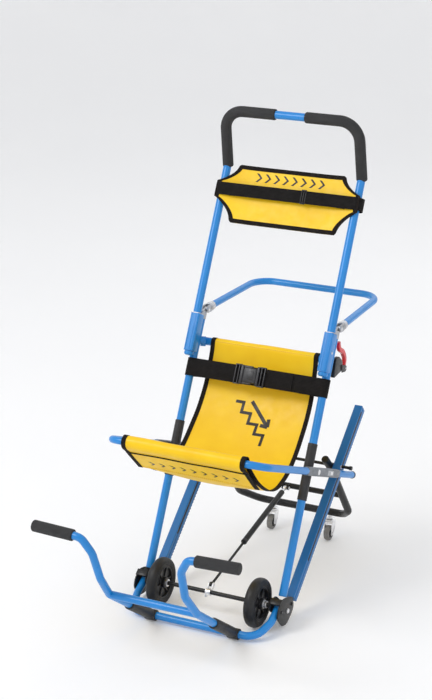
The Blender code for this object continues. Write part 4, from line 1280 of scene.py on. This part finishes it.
# ---- carry handles -----------------------------------------------------------------------------
def rear_handle():
    depth, height = LIFT_HINGE
    reach = [at(0.2235, depth + 0.047, height + 0.001), at(0.2135, 0.7835, height + 0.006)]
    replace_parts(tube("rear_lift_coat", reach + mirrored(reach), ARM_R, BLUE, "rear_lift", 0.065),
                "rear_lift_handle")
    for side, s in SIDES.items():
        hinge = at(s * TUBE_X, depth, height)
        back = at(s * TUBE_X, depth + 0.0465, height + 0.001)
        shell = tube("lift_knuckle_%s_cast" % side, [hinge.lerp(back, 0.40), back], 0.0136, ALLOY,
                     "rear_lift", lip=0.0018, spacing=0.004, sides=24)
        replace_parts(shell, "lift_knuckle_" + side)
        for face in (1, -1):
            ear = rounded_outline([(depth - 0.010, height - 0.010), (depth - 0.010, height + 0.010),
                                   (depth + 0.024, height + 0.012), (depth + 0.024, height - 0.012)], 0.009)
            x = s * TUBE_X + face * 0.0056
            plate("lift_ear_%s_%d" % (side, face), ear, x, x + face * 0.0058, ALLOY, "rear_lift")
            pin = [(0, 0), (0.0052, 0), (0.0050, 0.0012), (0.0030, 0.0020), (0, 0.0022)]
            disc("lift_pin_%s_%d" % (side, face), pin, hinge + ACROSS * face * 0.0114, ZINC,
                 "rear_lift", ACROSS * face, 24)
        for k, share in enumerate((0.62, 0.76)):
            tube("lift_band_%s_%d" % (side, k), [hinge.lerp(back, share), hinge.lerp(back, share + 0.05)],
                 0.0146, ZINC, "rear_lift", lip=0.0006)
        base = on_back(s * TUBE_X, BACK_TUBE_TOP)
        cap = tube("lift_socket_%s_cap" % side, [base - ALONG * 0.014, base + ALONG * 0.010], 0.0136, ALLOY,
                   "frame", lip=0.0022)
        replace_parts(cap, "lift_socket_" + side)
        block("lift_tongue_" + side, at(s * TUBE_X, (back_line(BACK_TUBE_TOP) + depth) / 2 + 0.002,
              height - 0.0015), (0.0095, 0.032, 0.014), ALLOY, "frame", radians(8), 0.0025)


def front_handle():
    leg = [(0.137, -0.240, 0.108), (0.140, *LIFT_BAR), (0.134, -0.412, 0.262),
           (0.139, -0.446, 0.352), (0.166, -0.459, 0.398), (0.1925, *FRONT_GRIP_START)]
    foot = (0.137, FOOT_BAR[0] - 0.013, FOOT_BAR[1] + 0.009)
    for side, s in SIDES.items():
        line = [at(s * x, d, z) for x, d, z in leg]
        arm = tube("front_lift_arm_" + side, line, SLIM_R, BLUE, "front_lift", 0.05, spacing=0.01)
        if s > 0:
            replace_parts(arm, "front_lift_handle")
        low = at(s * foot[0], *foot[1:])
        run = (line[0] - low).normalized()
        skin = tube("lift_sleeve_%s_skin" % side, [low, line[0] + run * 0.004], 0.0163, SLEEVE_RUBBER,
                    "front_lift", lip=0.002, spacing=0.01)
        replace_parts(skin, "lift_sleeve_" + side)
        tube("lift_barrel_" + side, run_across(s * 0.119, s * 0.155, FOOT_BAR), 0.0165,
             SLEEVE_RUBBER, "front_lift", lip=0.002)
        grip = tube("front_grip_%s_foam" % side, [at(s * 0.1900, *FRONT_GRIP_START),
                                                  at(s * 0.322, *FRONT_GRIP_END)], GRIP_R, FOAM,
                    "front_lift", lip=0.004, spacing=0.01, sides=32)
        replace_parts(grip, "front_grip_" + side)
    tube("front_lift_bar", run_across(-0.139, 0.139, LIFT_BAR), SLIM_R, BLUE, "front_lift")


# ---- the whole chair ---------------------------------------------------------------------------
camera()
stage()
back_frame()
foot_brackets()
foot_bar()
release_lever()
for wheel_side, wheel_sign in SIDES.items():
    front_wheel(wheel_side, wheel_sign)
    track_rail(wheel_side, wheel_sign)
    caster(wheel_side, wheel_sign)
axle()
push_handle()
seat_frame()
cross_rod()
kickstand()
gas_strut()
rear_handle()
front_handle()
sling()
print_shape("flap_print", SLING, chevron_row(0, SLING.length - 0.045, 9, 0.034, 0.0115), PRINT, "seat", 3)
print_shape("sling_print", SLING, stairs_sign(-0.004, 0.285, 0.125), PRINT, "frame")
headrest()
lap_belt()
head_strap()
